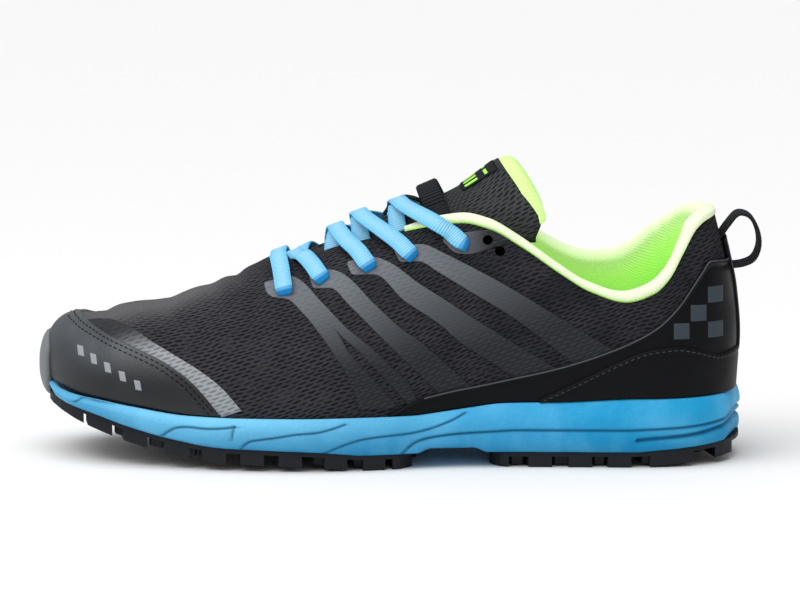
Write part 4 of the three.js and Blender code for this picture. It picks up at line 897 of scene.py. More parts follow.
# Overlays over the skin, each between two levels on its rings, with rounded edges.
def overlay(name, rings, low, high, thickness, rows=26, base=0.05, bead=0.0, past=None, under=None,
            material=wingSkin):
    lowT, highT = low(rings), high(rings)
    topT = np.minimum(highT, 0.99)
    pace = np.linalg.norm(skinAt(rings, topT) - skinAt(rings, topT - 0.01), axis=-1) / 0.01
    total = np.maximum((highT - lowT) * pace, 1e-3)
    near = [0, 0.12, 0.3, 0.6, 1.0, 1.5, 2.1, 2.8, 3.6]
    fine = np.stack([1 - np.minimum(d / total, 0.09 * i) for i, d in enumerate(near)], 1)
    rest = np.linspace(0, 1, rows)[None, :] * fine[:, -1:]
    share = np.concatenate([rest, fine[:, -2::-1]], 1)
    t = lowT[:, None] + (highT - lowT)[:, None] * share
    ringGrid = np.broadcast_to(rings[:, None], t.shape)
    fromTop = (1 - share) * total[:, None]
    if past is not None:
        fromTop = fromTop + past(rings)[:, None]
    fromLow = share * total[:, None]
    outside = base + thickness * np.minimum(rounded(fromTop, 0.6), rounded(fromLow + 0.15, 0.6))
    outside = outside + bead * np.exp(-((fromTop - 1.0) / 0.7) ** 2)  # a pressed bead along the top edge
    outside = outside - 0.6 * bead * np.exp(-((fromTop - 2.6) / 0.6) ** 2)
    a = skin(ringGrid, t, outside)
    below = skin(ringGrid, t, base - 0.35 if under is None else under)
    uv = np.stack([a[..., 0], girthOf(a)], -1)
    return shell(name, a, below, uv, [material], pinched=highT > 1 - 1e-6)


def edgeOf(rows, count=70):  # a side-view edge as stations and levels of the skin
    line = smoothPath(rows, count)
    r, t = locate(lateral, line[:, 0], line[:, 1])
    return stationOf(r), t


def lowLevel(rings):
    s = stationOf(rings)
    return levelAt(sideOf(rings), s, rimAt(s * soleLong) + 0.2)


capRows = [(15.3, 58.6), (20, 56), (27, 53.2), (35.2, 50.3), (44, 47.2), (52.2, 44.0),
           (59.5, 40.2), (66, 35.6), (72, 29.6), (78, 22.4)]
wingRows = [(146, 22.6), (151.6, 25.6), (160.4, 29.4), (171.8, 32), (184.4, 34.4), (196.3, 37),
            (212.4, 40.6), (228.5, 45.3), (243.2, 50.8), (255.6, 57.4), (266, 67.4), (273.2, 77.8),
            (277.6, 83.2), (286.8, 82)]
counterRows = [(207.9, 28.6), (216.2, 32.4), (225.6, 36.9), (235.9, 41.9), (246.1, 46.3),
               (252.6, 48.3), (263.7, 49.4), (272.5, 47.8), (281.3, 45.3), (287.1, 46.2)]
capThickness, wingThickness = 1.1, 1.1


def makeCap():
    s, t = edgeOf(capRows)
    first, last = s[0], s[-1]
    level = lambda v: np.interp(v, s, t)
    over = np.linspace(0, 1, 34) ** 1.6 * first
    over = np.concatenate([over[:-1], first - np.array([0.0022, 0.0014, 0.0008, 0.0004, 0.0001, 0])])
    behind = first + (last - first) * np.linspace(0, 1, 110)[1:] ** 1.25
    side = np.unique(np.concatenate([over, behind]))
    rings = np.concatenate([-ringOf(lateral, side)[::-1], ringOf(lateral, side[1:])])
    edge = lambda r: np.maximum(level(stationOf(r)), lowLevel(r) + 0.012)
    high = lambda r: np.where(stationOf(r) <= first + 1e-7, 1.0, edge(r))
    past = lambda r: np.clip((first - stationOf(r)) * soleLong, 0, 50)
    return overlay("capOverlay", rings, lowLevel, high, capThickness, 34, past=past, material=capSkin)


def makeHeelOverlay(name, rows, thickness, base, bead):
    s, t = edgeOf(rows)
    level = lambda v: np.interp(v, s, t)
    rings = heelRings(s[0] + (1 - s[0]) * cosineSteps(129))
    high = lambda r: np.maximum(level(stationOf(r)), lowLevel(r) + 0.012)
    return overlay(name, rings, lowLevel, high, thickness, 26, base, bead)


backstayValues = dict(
    half=7.0, thickness=0.9, base=1.3, low=44.0, high=91.0, seam=0.4, seamLift=2.15, seamRows=40)


def makeBackstay():
    half, power = backstayValues["half"], tip["power"]
    reach = tip["reach"] * (1 - (1 - (half / (0.475 * sole["heel"])) ** power) ** (1 / power))
    rings = heelRings(1 - reach * np.linspace(1, 0, 16) ** 2)
    drop = lambda r: 5.0 * np.abs(skinAt(r, 0.9 + 0 * r)[..., 1] / half) ** 4
    low = lambda r: levelAt(sideOf(r), stationOf(r), backstayValues["low"])
    high = lambda r: levelAt(sideOf(r), stationOf(r), backstayValues["high"] - drop(r))
    strip = overlay("backstayFace", rings, low, high, backstayValues["thickness"], 40, backstayValues["base"],
                    under=0.02)
    inner, count = rings[1:-1], backstayValues["seamRows"]
    edge = high(inner)
    foot = levelAt(lateral, stationOf(inner[0]), backstayValues["low"] + 2)
    down = np.linspace(foot, edge[0] - 0.004, count)
    ringPath = np.concatenate([np.full(count, inner[0]), inner, np.full(count, inner[-1])])
    levelPath = np.concatenate([down, edge - 0.006, down[::-1]])
    centre, outward = skin(ringPath, levelPath, backstayValues["seamLift"]), skinNormal(ringPath, levelPath)
    return joined("backstayStrip", [strip, cord("backstaySeam", centre, outward, backstayValues["seam"])])


def cord(name, centre, outward, radius):  # a thin round line along a path on the shoe
    across = unit(np.cross(unit(np.gradient(centre, axis=0)), outward))
    turn = turned(8)
    return swept(name, centre, across, outward, np.cos(turn) * radius, np.sin(turn) * radius, pipeGrey)


ride(makeCap(), ["toe_cap"])
ride(makeHeelOverlay("wingOverlay", wingRows, wingThickness, 0.05, 0.5), ["heel_wing"])
ride(makeHeelOverlay("counterOverlay", counterRows, 1.1, 1.2, 0.25), ["heel_counter"])
ride(makeBackstay(), ["backstay"])
print("stage: overlays")

# Support films: each lies between a left and a right edge, given in x and height from the tab down.
filmEdges = [
    dict(left=[(94.9, 73.5), (96.2, 70.5), (99.1, 68.8), (104.2, 68.3), (110.9, 63.4), (117.6, 56.2),
               (124.3, 47.1), (128.9, 39.8), (132.3, 31.9), (134.2, 25)],
         right=[(94.9, 74.0), (100.4, 75.3), (105.4, 76.6), (108.8, 75.7), (118.7, 67.8), (130, 57.5),
                (141.2, 48.5), (146.9, 42.8), (154.1, 35.8), (159.5, 25)]),
    dict(left=[(113.4, 76.3), (115.5, 72.7), (122.2, 73.1), (130, 67.1), (141.2, 56.2), (152.5, 44.9),
               (159.2, 38.1), (168, 29.5)],
         right=[(113.4, 77), (118, 78.8), (122.6, 79.9), (126, 79.3), (141.1, 66.7), (150.8, 58), (159.2, 52),
                (180.2, 33)]),
    dict(left=[(129.2, 82.1), (131.7, 78.4), (140.1, 78.7), (152.5, 68.7), (167.2, 58.9), (175.1, 51.9),
               (183.3, 46.4), (200, 35.6)],
         right=[(129.4, 83.2), (134.8, 84.4), (140.3, 85.1), (146.6, 83.3), (159.2, 75), (169.9, 68.5),
                (180.6, 61.5), (217, 39.4)]),
    dict(left=[(148.6, 87.4), (151.4, 83.6), (158.1, 84), (167.2, 79.5), (177.9, 73.2), (188.6, 66.9),
               (199.4, 60), (222, 42.4)],
         right=[(149.1, 88.7), (154.1, 90), (159.8, 90.6), (169.9, 87), (176.8, 83.7), (191.3, 76.2),
                (202, 70), (240, 47)]),
    dict(left=[(168.4, 92), (174.3, 87.5), (178.1, 87.2), (189.4, 90.2), (195.7, 93)],
         right=[(168.8, 93.4), (172.6, 94.8), (180.2, 96.2), (188.2, 97), (194, 96)])]
slitRows = [(124.9, 57), (133, 47.6), (141.3, 38.8), (152.5, 26)]  # gap between the first film's two legs
slitHalf = 1.9


def splitRow(a, b, line, columns):  # places across one row of a film, to both sides of its slit
    width = np.linalg.norm(b - a)
    fine = 300
    row = a + (b - a)[None, :] * np.linspace(0, 1, fine)[:, None]
    d = np.linalg.norm(row[:, None, :] - line[None, :, :], axis=-1)
    best = np.unravel_index(np.argmin(d), d.shape)
    if d[best] > 0.5:
        return None
    middle = best[0] / (fine - 1) * width
    gapHalf = slitHalf * smooth(best[1] / 60)
    left = np.linspace(0, max(middle - gapHalf, 0.3), columns // 2)
    right = np.linspace(min(middle + gapHalf, width - 0.3), width, columns - columns // 2)
    near = np.concatenate([np.minimum(left, left[-1] - left), np.minimum(right - right[0], width - right)])
    return np.concatenate([left, right]) / width, near


def film(name, side, left, right, material, thickness=0.32, split=None, rows=90, columns=22, lift=0.0):
    a, b = smoothPath(left, rows), smoothPath(right, rows)
    width = np.linalg.norm(b - a, axis=1)
    share = np.linspace(0, 1, columns)
    share = 0.5 - 0.5 * np.cos(np.pi * share) * (1 - 0.25 * (1 - np.abs(np.cos(np.pi * share))))
    grid = a[:, None, :] + (b - a)[:, None, :] * share[None, :, None]
    across = share[None, :] * width[:, None]
    fromEdge = np.minimum(across, width[:, None] - across)
    length = lengthAlong((a + b) / 2)
    keep = None
    if split is not None:
        line = smoothPath(split, 200)
        keep = np.ones((rows - 1, columns - 1), bool)
        for i in range(rows):
            found = splitRow(a[i], b[i], line, columns) if length[i] >= 25 else None
            if found is None:
                continue
            grid[i] = a[i] + (b[i] - a[i])[None, :] * found[0][:, None]
            fromEdge[i] = found[1]
            if i < rows - 1:
                keep[i, columns // 2 - 1] = False
    r, t = locate(side, grid[..., 0], grid[..., 1])
    edge = rounded(np.minimum(fromEdge, length[:, None]), 0.35)
    outside = skin(r, t, lift + 0.06 + thickness * edge)
    inside = skin(r, t, lift - 0.3)
    fade = np.broadcast_to((length / length[-1])[:, None], edge.shape)
    return shell(name, outside, inside, np.stack([fade, across], -1), [material], keep=keep)


for side, word in sideWords:
    for k, edge in enumerate(filmEdges):
        number = f"{word.lower()}_{k + 1}"
        split = None if k else slitRows
        piece = film(f"film_{number}", side, edge["left"], edge["right"], stripeFilm, split=split)
        ride(punched(piece, [cutters[side]]), [f"stripe_{number}"])
print("stage: films")

bandUpper = [(29.8, 57.4), (36, 56.4), (43.3, 53.6), (50, 50), (57.1, 46.6), (69.3, 40.3), (78.5, 33.8),
             (86.5, 25)]
bandLower = [(19.5, 55.8), (27, 52.6), (35.2, 49.6), (44, 46.4), (52.2, 43), (59.5, 39.2), (66, 34.6),
             (78, 21.9)]
bands = [film(f"band{word}", side, bandLower, bandUpper, bandFilm, 0.3) for side, word in sideWords]
ride(joined("toeBandFilm", bands), None)

# Padded collar: it starts at the fabric's edge, rolls over it and runs down inside.
collarValues = dict(start=0.532, depth=0.4, pad=6.2, roll=5.4, stations=150)


def collarPad(s, t):
    along = mix(0.42, 1, smooth((s - collarValues["start"]) / 0.18))
    height = mix(0.3, 1, smooth((t - collarValues["depth"]) / (1 - collarValues["depth"])))
    return collarValues["pad"] * along * height


def makeCollar():
    start = collarValues["start"] + 0.004
    rings = heelRings(start + (1 - start) * cosineSteps(collarValues["stations"] - 1))
    s, top = stationOf(rings), np.ones_like(rings)
    up = unit(skinAt(rings, top) - skinAt(rings, 0.96 * top))
    fade = mix(0.7, 1, smooth((s - collarValues["start"]) / 0.04))
    roll = collarValues["roll"] * fade * mix(1, 0.86, smooth((s - 0.9) / 0.09))
    back = -(shape["wall"] + airGap) * top
    inward = back - collarPad(s, 1.0) * fade

    def raised(offset, height):
        return skin(rings, top, offset) + up * (height * top)[:, None]

    levels = np.linspace(collarValues["depth"], 1, 14)
    outer = [skin(rings, t * top, back) for t in levels]
    outer[-1] = raised(back, 0.2)
    over = [raised(out * top, share * roll + more) for out, share, more in (
        (0.1, 0, 0.35), (0.6, 0.2, 0.3), (0.72, 0.48, 0), (0.4, 0.74, 0))]
    over += [raised(mix(0.2, inward, reach), share * roll) for reach, share in (
        (0.2, 0.92), (0.38, 1), (0.58, 0.97), (0.76, 0.83), (0.91, 0.6), (1, 0.32))]
    inner = [skin(rings, t * top, back - collarPad(s, t) * fade) for t in levels[::-1]]
    rows = np.stack(outer + over + inner, 1)
    girth = girthOf(rows)
    fromEdge = girth - girth[:, len(outer) - 1:len(outer)]
    obj = loftRows("collarPadding", rows, [limeKnit], np.stack([rows[..., 0], fromEdge], -1))
    mod = obj.modifiers.new("soft", "SUBSURF")
    mod.levels = mod.render_levels = 1
    return applied(obj)


ride(makeCollar(), ["collar_lining"])
print("stage: collar")

# The tongue, along its middle line from under the vamp to its top edge.
tongueValues = dict(thickness=5.4, half=21.5, top=124.2, long=122)
tongueRows = [  # along, x, half, spread, thickness, drop
    (0.0, 0.3, 0.8, 52, 0.4, 1.22), (0.12, 0.345, 0.84, 56, 0.42, 1.22), (0.3, 0.405, 0.9, 62, 0.5, 1.22),
    (0.5, 0.48, 0.95, 68, 0.65, 1.22), (0.68, 0.54, 1, 72, 0.8, 1.22), (0.84, 0.594, 1.02, 77, 1.1, 1.24),
    (1.0, 0.656, 1, 92, 1.5, 1.5)]
tongueX, tongueHalfShare, tongueSpread, tongueThick, tongueDrop = (curve(tongueRows, k) for k in range(1, 6))
tongueZ = between((
    (toeTop, throatTop, ((0.0, 0.58), (0.12, 0.83))),
    (throatTop, tongueValues["top"], ((0.3, 0.09), (0.5, 0.34), (0.68, 0.51), (0.84, 0.685), (1.0, 1)))))


def tonguePoint(q, v, lift):  # q along it, v across it from -1 to 1, lift above its outer face
    q, v, lift = np.broadcast_arrays(*(np.asarray(value, float) for value in (q, v, lift)))
    low, high = np.clip(q - 0.01, 0, 1), np.clip(q + 0.01, 0, 1)
    run = (tongueX(high) - tongueX(low)) * soleLong
    climb = tongueZ(high) - tongueZ(low)
    size = np.hypot(run, climb)
    angle = v * tongueSpread(q) * np.pi / 180
    half = tongueValues["half"] * tongueHalfShare(q)
    fall = tongueDrop(q) * half * (1 - np.cos(angle)) - lift * np.cos(angle)
    return np.stack([tongueX(q) * soleLong + fall * climb / size, (half + lift) * np.sin(angle),
                     tongueZ(q) - fall * run / size], -1)


def tongueAlong(x):
    fine = np.linspace(0, 1, 400)
    return float(np.interp(x, tongueX(fine) * soleLong, fine))


def makeTongue():
    q = np.linspace(0, 1, 90)
    v = np.linspace(-1, 1, 41)
    qGrid, vGrid = np.meshgrid(q, v, indexing="ij")
    full = tongueValues["thickness"] * tongueThick(qGrid) * (1 - 0.45 * vGrid ** 4)
    edge = np.minimum((1 - np.abs(vGrid)) * 24, (1 - qGrid) * 110)
    soft = rounded(edge, 2.6)
    quilt = 0.35 * np.exp(-((np.abs(vGrid) - 0.55) / 0.05) ** 2) + 0.3 * np.exp(-((qGrid - 0.9) / 0.012) ** 2)
    share = mix(0.5, 0.22, smooth((qGrid - 0.8) / 0.2))  # where the outer face meets the lining at the edge
    wide = vGrid * (1 + 0.19 * smooth((qGrid - 0.72) / 0.2))  # the upper sides reach further down
    along = qGrid * (1 - 0.065 * smooth((np.abs(wide) - 0.86) / 0.36))
    outer = tonguePoint(along, wide, -share * full * (1 - soft) - quilt)
    inner = tonguePoint(along, wide, -full + (1 - share) * full * (1 - soft))
    uv = np.stack([qGrid * tongueValues["long"], wide * 36], -1)
    pad = shell("tongueFace", outer, inner, uv, [tongueMesh, tongueLime], inside=1)
    return joined("tonguePad", [pad, tongueLip()])


def tongueLip():  # the soft lining bulges out past the top edge
    v = np.linspace(-0.95, 0.95, 65)
    run, climb = (tongueX(1.0) - tongueX(0.98)) * soleLong, tongueZ(1.0) - tongueZ(0.98)
    ahead = np.array([run, 0.0, climb]) / math.hypot(run, climb)
    turn = turned(28)
    full = tongueValues["thickness"] * tongueThick(1.0) * (1 - 0.45 * v ** 4)
    bulge = (3.9 + 0.7 * smooth(np.abs(v) / 0.4)) * np.sqrt(np.clip(1 - (np.abs(v) / 0.95) ** 3, 0, 1))
    lift = -0.55 - full[:, None] * (0.5 - 0.47 * squared(np.sin(turn), 0.85)[None, :])
    rows = tonguePoint(1.0, v[:, None] + 0 * lift, lift)
    rows = rows + ahead * (np.cos(turn)[None, :] * (bulge[:, None] + 1.4) - 1.4)[..., None]
    uv = np.stack([v[:, None] * 30 + 0 * lift, lift], -1)
    return loftRows("tongueLip", rows, [tongueLime], uv)


ride(makeTongue(), ["tongue"])


def tongueStrap(name, q0, q1, v0, v1, lift, thick, material, steps=60, lanes=12):
    v = np.linspace(v0, v1, steps)
    q = np.linspace(q0, q1, lanes)
    vGrid, qGrid = np.meshgrid(v, q, indexing="ij")
    edge = np.minimum(qGrid - q0, q1 - qGrid) * tongueValues["long"]
    softness = rounded(edge, 0.6)
    over = tonguePoint(qGrid, vGrid, lift(vGrid) + thick * (0.5 + 0.5 * softness))
    under = tonguePoint(qGrid, vGrid, lift(vGrid) + thick * (0.5 - 0.5 * softness))
    uv = np.stack([vGrid * 28, qGrid * tongueValues["long"]], -1)
    return shell(name, over, under, uv, [material])


keeperValues = dict(width=11, station=0.561, slack=5.6, thick=1.4, reach=0.62)
keeperMiddle = tongueAlong(keeperValues["station"] * soleLong)
keeperHalf = keeperValues["width"] / 2 / tongueValues["long"]


def keeperLift(v):  # the strap stands off the tongue in the middle, where the laces pass
    return 0.4 + keeperValues["slack"] * np.cos(np.clip(v / 0.42, -1, 1) * np.pi / 2) ** 0.8


keeper = tongueStrap(
    "laceKeeper", keeperMiddle - keeperHalf, keeperMiddle + keeperHalf, -keeperValues["reach"],
    keeperValues["reach"], keeperLift, keeperValues["thick"], webBlack)
ride(keeper, ["tongue_keeper"])

# The tongue's label: a dark patch with plain strokes, given as along, length, across, width.
labelRows = [(0.865, 0.05, -0.26 + 0.1 * i, 0.05) for i in range(5)]
labelRows += [(0.935, 0.012, -0.26 + 0.2 * i, 0.12) for i in range(3)]
label = [tongueStrap("labelBase", 0.855, 0.975, -0.3, 0.3, lambda v: 0.02 + 0 * v, 0.5, webBlack, 24, 16)]
label += [tongueStrap(f"labelBar{i}", q, q + long, v, v + wide, lambda u: 0.38 + 0 * u, 0.2, labelLime, 5, 8)
          for i, (q, long, v, wide) in enumerate(labelRows)]
ride(joined("tongueLabel", label), None)
print("stage: tongue")


# Flat laces: a bar over the first eyelets, then crossings; each dives into its eyelet.
def centripetal(points, count):  # a smooth curve through all its points
    pts = np.asarray(points, float)
    ends = np.concatenate([[2 * pts[0] - pts[1]], pts, [2 * pts[-1] - pts[-2]]])
    knots = np.concatenate([[0], np.cumsum(np.linalg.norm(np.diff(ends, axis=0), axis=1) ** 0.5)])
    fine = []
    for i in range(1, len(ends) - 2):
        p0, p1, p2, p3 = ends[i - 1:i + 3]
        t0, t1, t2, t3 = knots[i - 1:i + 3]
        t = np.linspace(t1, t2, 40, endpoint=(i == len(ends) - 3))[:, None]
        a1 = (t1 - t) / (t1 - t0) * p0 + (t - t0) / (t1 - t0) * p1
        a2 = (t2 - t) / (t2 - t1) * p1 + (t - t1) / (t2 - t1) * p2
        a3 = (t3 - t) / (t3 - t2) * p2 + (t - t2) / (t3 - t2) * p3
        b1 = (t2 - t) / (t2 - t0) * a1 + (t - t0) / (t2 - t0) * a2
        b2 = (t3 - t) / (t3 - t1) * a2 + (t - t1) / (t3 - t1) * a3
        fine.append((t2 - t) / (t2 - t1) * b1 + (t - t1) / (t2 - t1) * b2)
    line = np.concatenate(fine)
    length = lengthAlong(line)
    even = np.linspace(0, length[-1], count)
    return np.stack([np.interp(even, length, line[:, k]) for k in range(3)], -1), even


def laceStrip(name, points, bothFeet=False):
    centre, along = centripetal(points, 110)
    tangent = unit(np.gradient(centre, axis=0))
    lean = np.clip(centre[:, 1] / 26, -1, 1) * 0.8
    upward = np.stack([np.full_like(lean, -0.35), lean, np.ones_like(lean)], -1)
    across = unit(np.cross(tangent, upward))
    first = int(np.searchsorted(along, laceValues["foot"]))
    across[:first] = across[first]
    if bothFeet:
        last = int(np.searchsorted(along, along[-1] - laceValues["foot"]))
        across[last:] = across[last - 1]
    across = unit(across - tangent * np.sum(across * tangent, axis=1)[:, None])
    normal = unit(np.cross(across, tangent))
    fromFoot = np.minimum(along, along[-1] - along) if bothFeet else along
    wide = laceValues["width"] * mix(0.3, 1, rounded(fromFoot - 3.5, 3.6))
    ripple = 1 + 0.014 * np.sin(along * 2 * np.pi / laceValues["rib"])
    turn = turned(24)
    flat, tall = squared(np.cos(turn), 0.42), squared(np.sin(turn), 0.75)
    uv = np.stack(np.broadcast_arrays(fromFoot[:, None], flat[None, :] * 3.6), -1)
    return swept(name, centre, across, normal, flat * (wide * ripple / 2)[:, None],
                 (tall + 1) * laceValues["thickness"] / 2, laceBlue, uv)


def eyestayPoint(side, k, share, lift, shift):
    r, t = eyeletPlace(side, k)
    s = float(stationOf(r)) + shift / soleLong
    return skin(float(ringOf(side, s)), mix(1, t, share), lift)


def laceFoot(side, k, onward):  # up out of the hole, round its lower edge and on towards the next point
    r, t = eyeletPlace(side, k)
    hole, out = skin(r, t, 0.0), skinNormal(r, t)
    way = unit(onward - hole)
    way = unit(way - out * np.sum(way * out))
    return [hole - out * 3.0 + way * 0.3, hole - out * 0.8 - way * 0.5, hole + out * 0.75 - way * 1.5,
            hole + out * 1.75 - way * 0.7, hole + out * 1.95 + way * 1.6]


def makeBar():
    lift = laceValues["lift"]
    crest = tonguePoint(tongueAlong(eyeletRows[0][0] - 1.5), 0, 4.0)
    halves = []
    for side, _ in sideWords:
        rise = [eyestayPoint(side, 0, 0.55, lift, -0.8), eyestayPoint(side, 0, 0.15, lift + 0.3, -1.6)]
        halves.append(laceFoot(side, 0, rise[1]) + rise)
    return laceStrip("laceBar", halves[0] + [crest] + halves[1][::-1], True)


laceRows = [  # crossing, end, over, lift, tuck, lead
    (0.368, 0.36, 0.4, 2.6, 0.3, 0.6), (0.43, 0.413, 0.8, 5.2, 0.5, 0.6),
    (0.464, 0.455, 1.1, 6.2, 0.5, 0.42), (0.515, 0.505, 2.6, 4.8, 0.5, 0.33)]


def makeCross(k):
    crossing, end, over, lift, tuck, lead = laceRows[k - 1]
    cross, last, hole = crossing * soleLong, end * soleLong, eyeletRows[k][0]
    back, base = cross - hole, laceValues["lift"]
    strips = []
    for side, word, height in ((lateral, "a", lift), (medial, "b", lift - 1.6)):
        rise = [eyestayPoint(side, k, 0.6, base + 0.1, back * 0.45 * lead),
                eyestayPoint(side, k, 0.2, base + over, back * lead)]
        rise += [tonguePoint(tongueAlong(x), side * out, up) for x, out, up in (
            (mix(cross, hole, 0.12), 0.36, height + 0.3), (cross, -0.08, height),
            (mix(cross, last, 0.5), -0.3, 0.5 * height), (last, -(tuck + 0.12), 0.5))]
        strips.append(laceStrip(f"laceStrip{k}{word}", laceFoot(side, k, rise[1]) + rise))
    return joined(f"laceCross{k}", strips)


ride(makeBar(), ["lace_bar_1"])
for k in range(1, 5):
    ride(makeCross(k), [f"lace_cross_{k + 1}"])

# Dark cups behind the eyelets, so that the free holes look into shade.
shadeValues = dict(radius=2.7, tip=0.3, depth=0.14, clear=0.12)


def eyeletShade(name, side, k):
    r, t = eyeletPlace(side, k)
    out, hole = skinNormal(r, t), skin(r, t, -shape["wall"] - shadeValues["clear"])
    first = unit(np.cross(out, np.array([0.0, 0.0, 1.0])))
    turn = turned(16)[:, None]
    ring = first * np.cos(turn) + np.cross(out, first) * np.sin(turn)
    wide, deep = ring * shadeValues["radius"], out * shadeValues["depth"]
    levels = np.stack([hole + wide, hole + wide - deep, hole + ring * shadeValues["tip"] - deep])
    return loftRows(name, levels, [holeDark])


shades = [eyeletShade(f"cup{word}{k}", side, k) for side, word in sideWords for k in range(len(eyeletRows))]
ride(joined("eyeletShades", shades), None)
print("stage: laces")

# Heel pull loop: a webbing band bent round in the shoe's middle plane.
loopValues = dict(width=12, thick=1.7)
loopRows = [  # before the heel's end, over its top edge
    (9.5, -9), (6.2, -4.2), (1.8, 0.4), (-2.6, -0.6), (-6, -6), (-6.9, -13), (-4.6, -18.5), (-0.4, -20.6),
    (5.5, -21.4)]


def makeLoop():
    pts = [(soleLong - back, 0, heelTop + height) for back, height in loopRows]
    centre, along = centripetal(pts, 90)
    tangent = unit(np.gradient(centre, axis=0))
    twist = -0.07 * np.cos(np.pi * along / along[-1])
    flatWay = np.array([0.0, 1.0, 0.0])
    across = flatWay * np.cos(twist)[:, None] + unit(np.cross(flatWay, tangent)) * np.sin(twist)[:, None]
    turn = turned(24)
    flat, tall = squared(np.cos(turn), 0.4), squared(np.sin(turn), 0.7)
    uv = np.stack(np.broadcast_arrays(along[:, None], flat[None, :] * 4.5), -1)
    outward = unit(np.cross(across, tangent))
    return swept("pullLoopBand", centre, across, outward, flat * loopValues["width"] / 2,
                 tall * loopValues["thick"] / 2, webBlack, uv)


ride(makeLoop(), ["pull_loop"])

# A slack piece of webbing between the last crossing and the keeper.
tabValues = dict(half=3.2, halfThick=0.75, aside=0.6)
tabRows = [(144.2, 99.6), (147.5, 104.2), (152, 106.8), (156.6, 106.4), (161.5, 104.2)]  # x and height


def makeTab():
    centre, along = centripetal([(x, tabValues["aside"], z) for x, z in tabRows], 40)
    across = np.tile(np.array([[0.0, 1.0, 0.0]]), (len(centre), 1))
    normal = unit(np.cross(across, unit(np.gradient(centre, axis=0))))
    turn = turned(20)
    flat = squared(np.cos(turn), 0.4)
    uv = np.stack(np.broadcast_arrays(along[:, None], flat[None, :] * 3), -1)
    return swept("keeperTab", centre, across, normal, flat * tabValues["half"],
                 np.sin(turn) * tabValues["halfThick"], webBlack, uv)


ride(makeTab(), None)

# The foam midsole, its side lines pressed in. Rows: share of the side's height, inset.
foamValues = dict(rings=400, sideRows=58)
sideRows = [(0, 2.6), (0.05, 1.5), (0.14, 0.68), (0.4, 0.21), (0.6, 0.13), (0.76, 0.52), (1, 2.08)]
sideInset = curve(sideRows, 1)
heelTail = curve([(0, 0.9), (0.14, 0.35), (0.4, 0.2), (0.7, 0.2), (0.9, 0.9), (1, 1.5)], 1)  # at the heel
toeBack = curve([(0, 4.6), (0.2, 3.0), (0.45, 1.6), (0.7, 0.9), (1, 0.5)], 1)  # drawn back under the rubber
sideLines = [  # width, depth, then points in x and height
    (0.5, 0.6, [(16.8, 25.3), (21, 27.4), (26.5, 26.6), (34, 26.1)]),
    (0.55, 0.9, [(53.3, 13.8), (56.3, 16), (60, 17.7), (63.8, 18.1), (71.8, 17.7), (79, 18.1), (83.6, 18.7)]),
    (0.5, 0.6, [(83.2, 18.9), (82.3, 13.4)]),
    (0.55, 0.9, [(85.7, 9.2), (87.4, 11.3), (89.9, 13), (94.5, 13.8), (100.8, 14.7), (108.8, 16),
                 (116.8, 16.6), (122.2, 17.7), (128.5, 19.6)]),
    (0.55, 0.9, [(120.1, 7.9), (124.7, 10), (129.4, 11.7), (135.7, 13.4), (143.6, 14.3), (154.6, 15.1),
                 (161.7, 16.4), (171.8, 19.8), (177.7, 22.8)]),
    (0.6, 1.2, [(150.8, 5.3), (153.3, 8.3), (157.1, 11.3), (163, 13), (173.5, 14.3), (188.2, 15.1),
                (200.3, 15.7), (220.5, 15.7), (243.2, 15.7), (254.9, 16.2), (270.9, 17), (283.1, 18.2),
                (294, 20.8)]),
    (0.85, 1.8, [(248.6, 11.7), (259.1, 12.6), (270.9, 13.5), (283.1, 15.4), (294, 17.6)])]


def sideRelief(x, z):  # depth pressed into the foam's side, and how deep in a line each point is, which the foam shows as painted shade
    depth = np.zeros(np.shape(x))
    grooveShade = np.zeros(np.shape(x))
    for width, deep, rows in sideLines:
        line = smoothPath(rows, 80)
        best = np.full(np.shape(x), 1e9)
        above = np.zeros(np.shape(x))
        for a, c in zip(line[:-1], line[1:]):
            span = c - a
            f = np.clip(((x - a[0]) * span[0] + (z - a[1]) * span[1]) / (span @ span), 0, 1)
            dz = z - a[1] - f * span[1]
            d = np.hypot(x - a[0] - f * span[0], dz)
            above = np.where(d < best, dz, above)
            best = np.minimum(best, d)
        pressed = np.exp(-(best / width) ** 2)
        below = np.where(above < 0, 1, 0) * (np.exp(-(best / 2.8) ** 2) - pressed)
        depth += deep * (pressed + 0.35 * below)
        grooveShade = np.maximum(grooveShade, np.exp(-(best / (0.9 * width)) ** 2))
    return depth, grooveShade


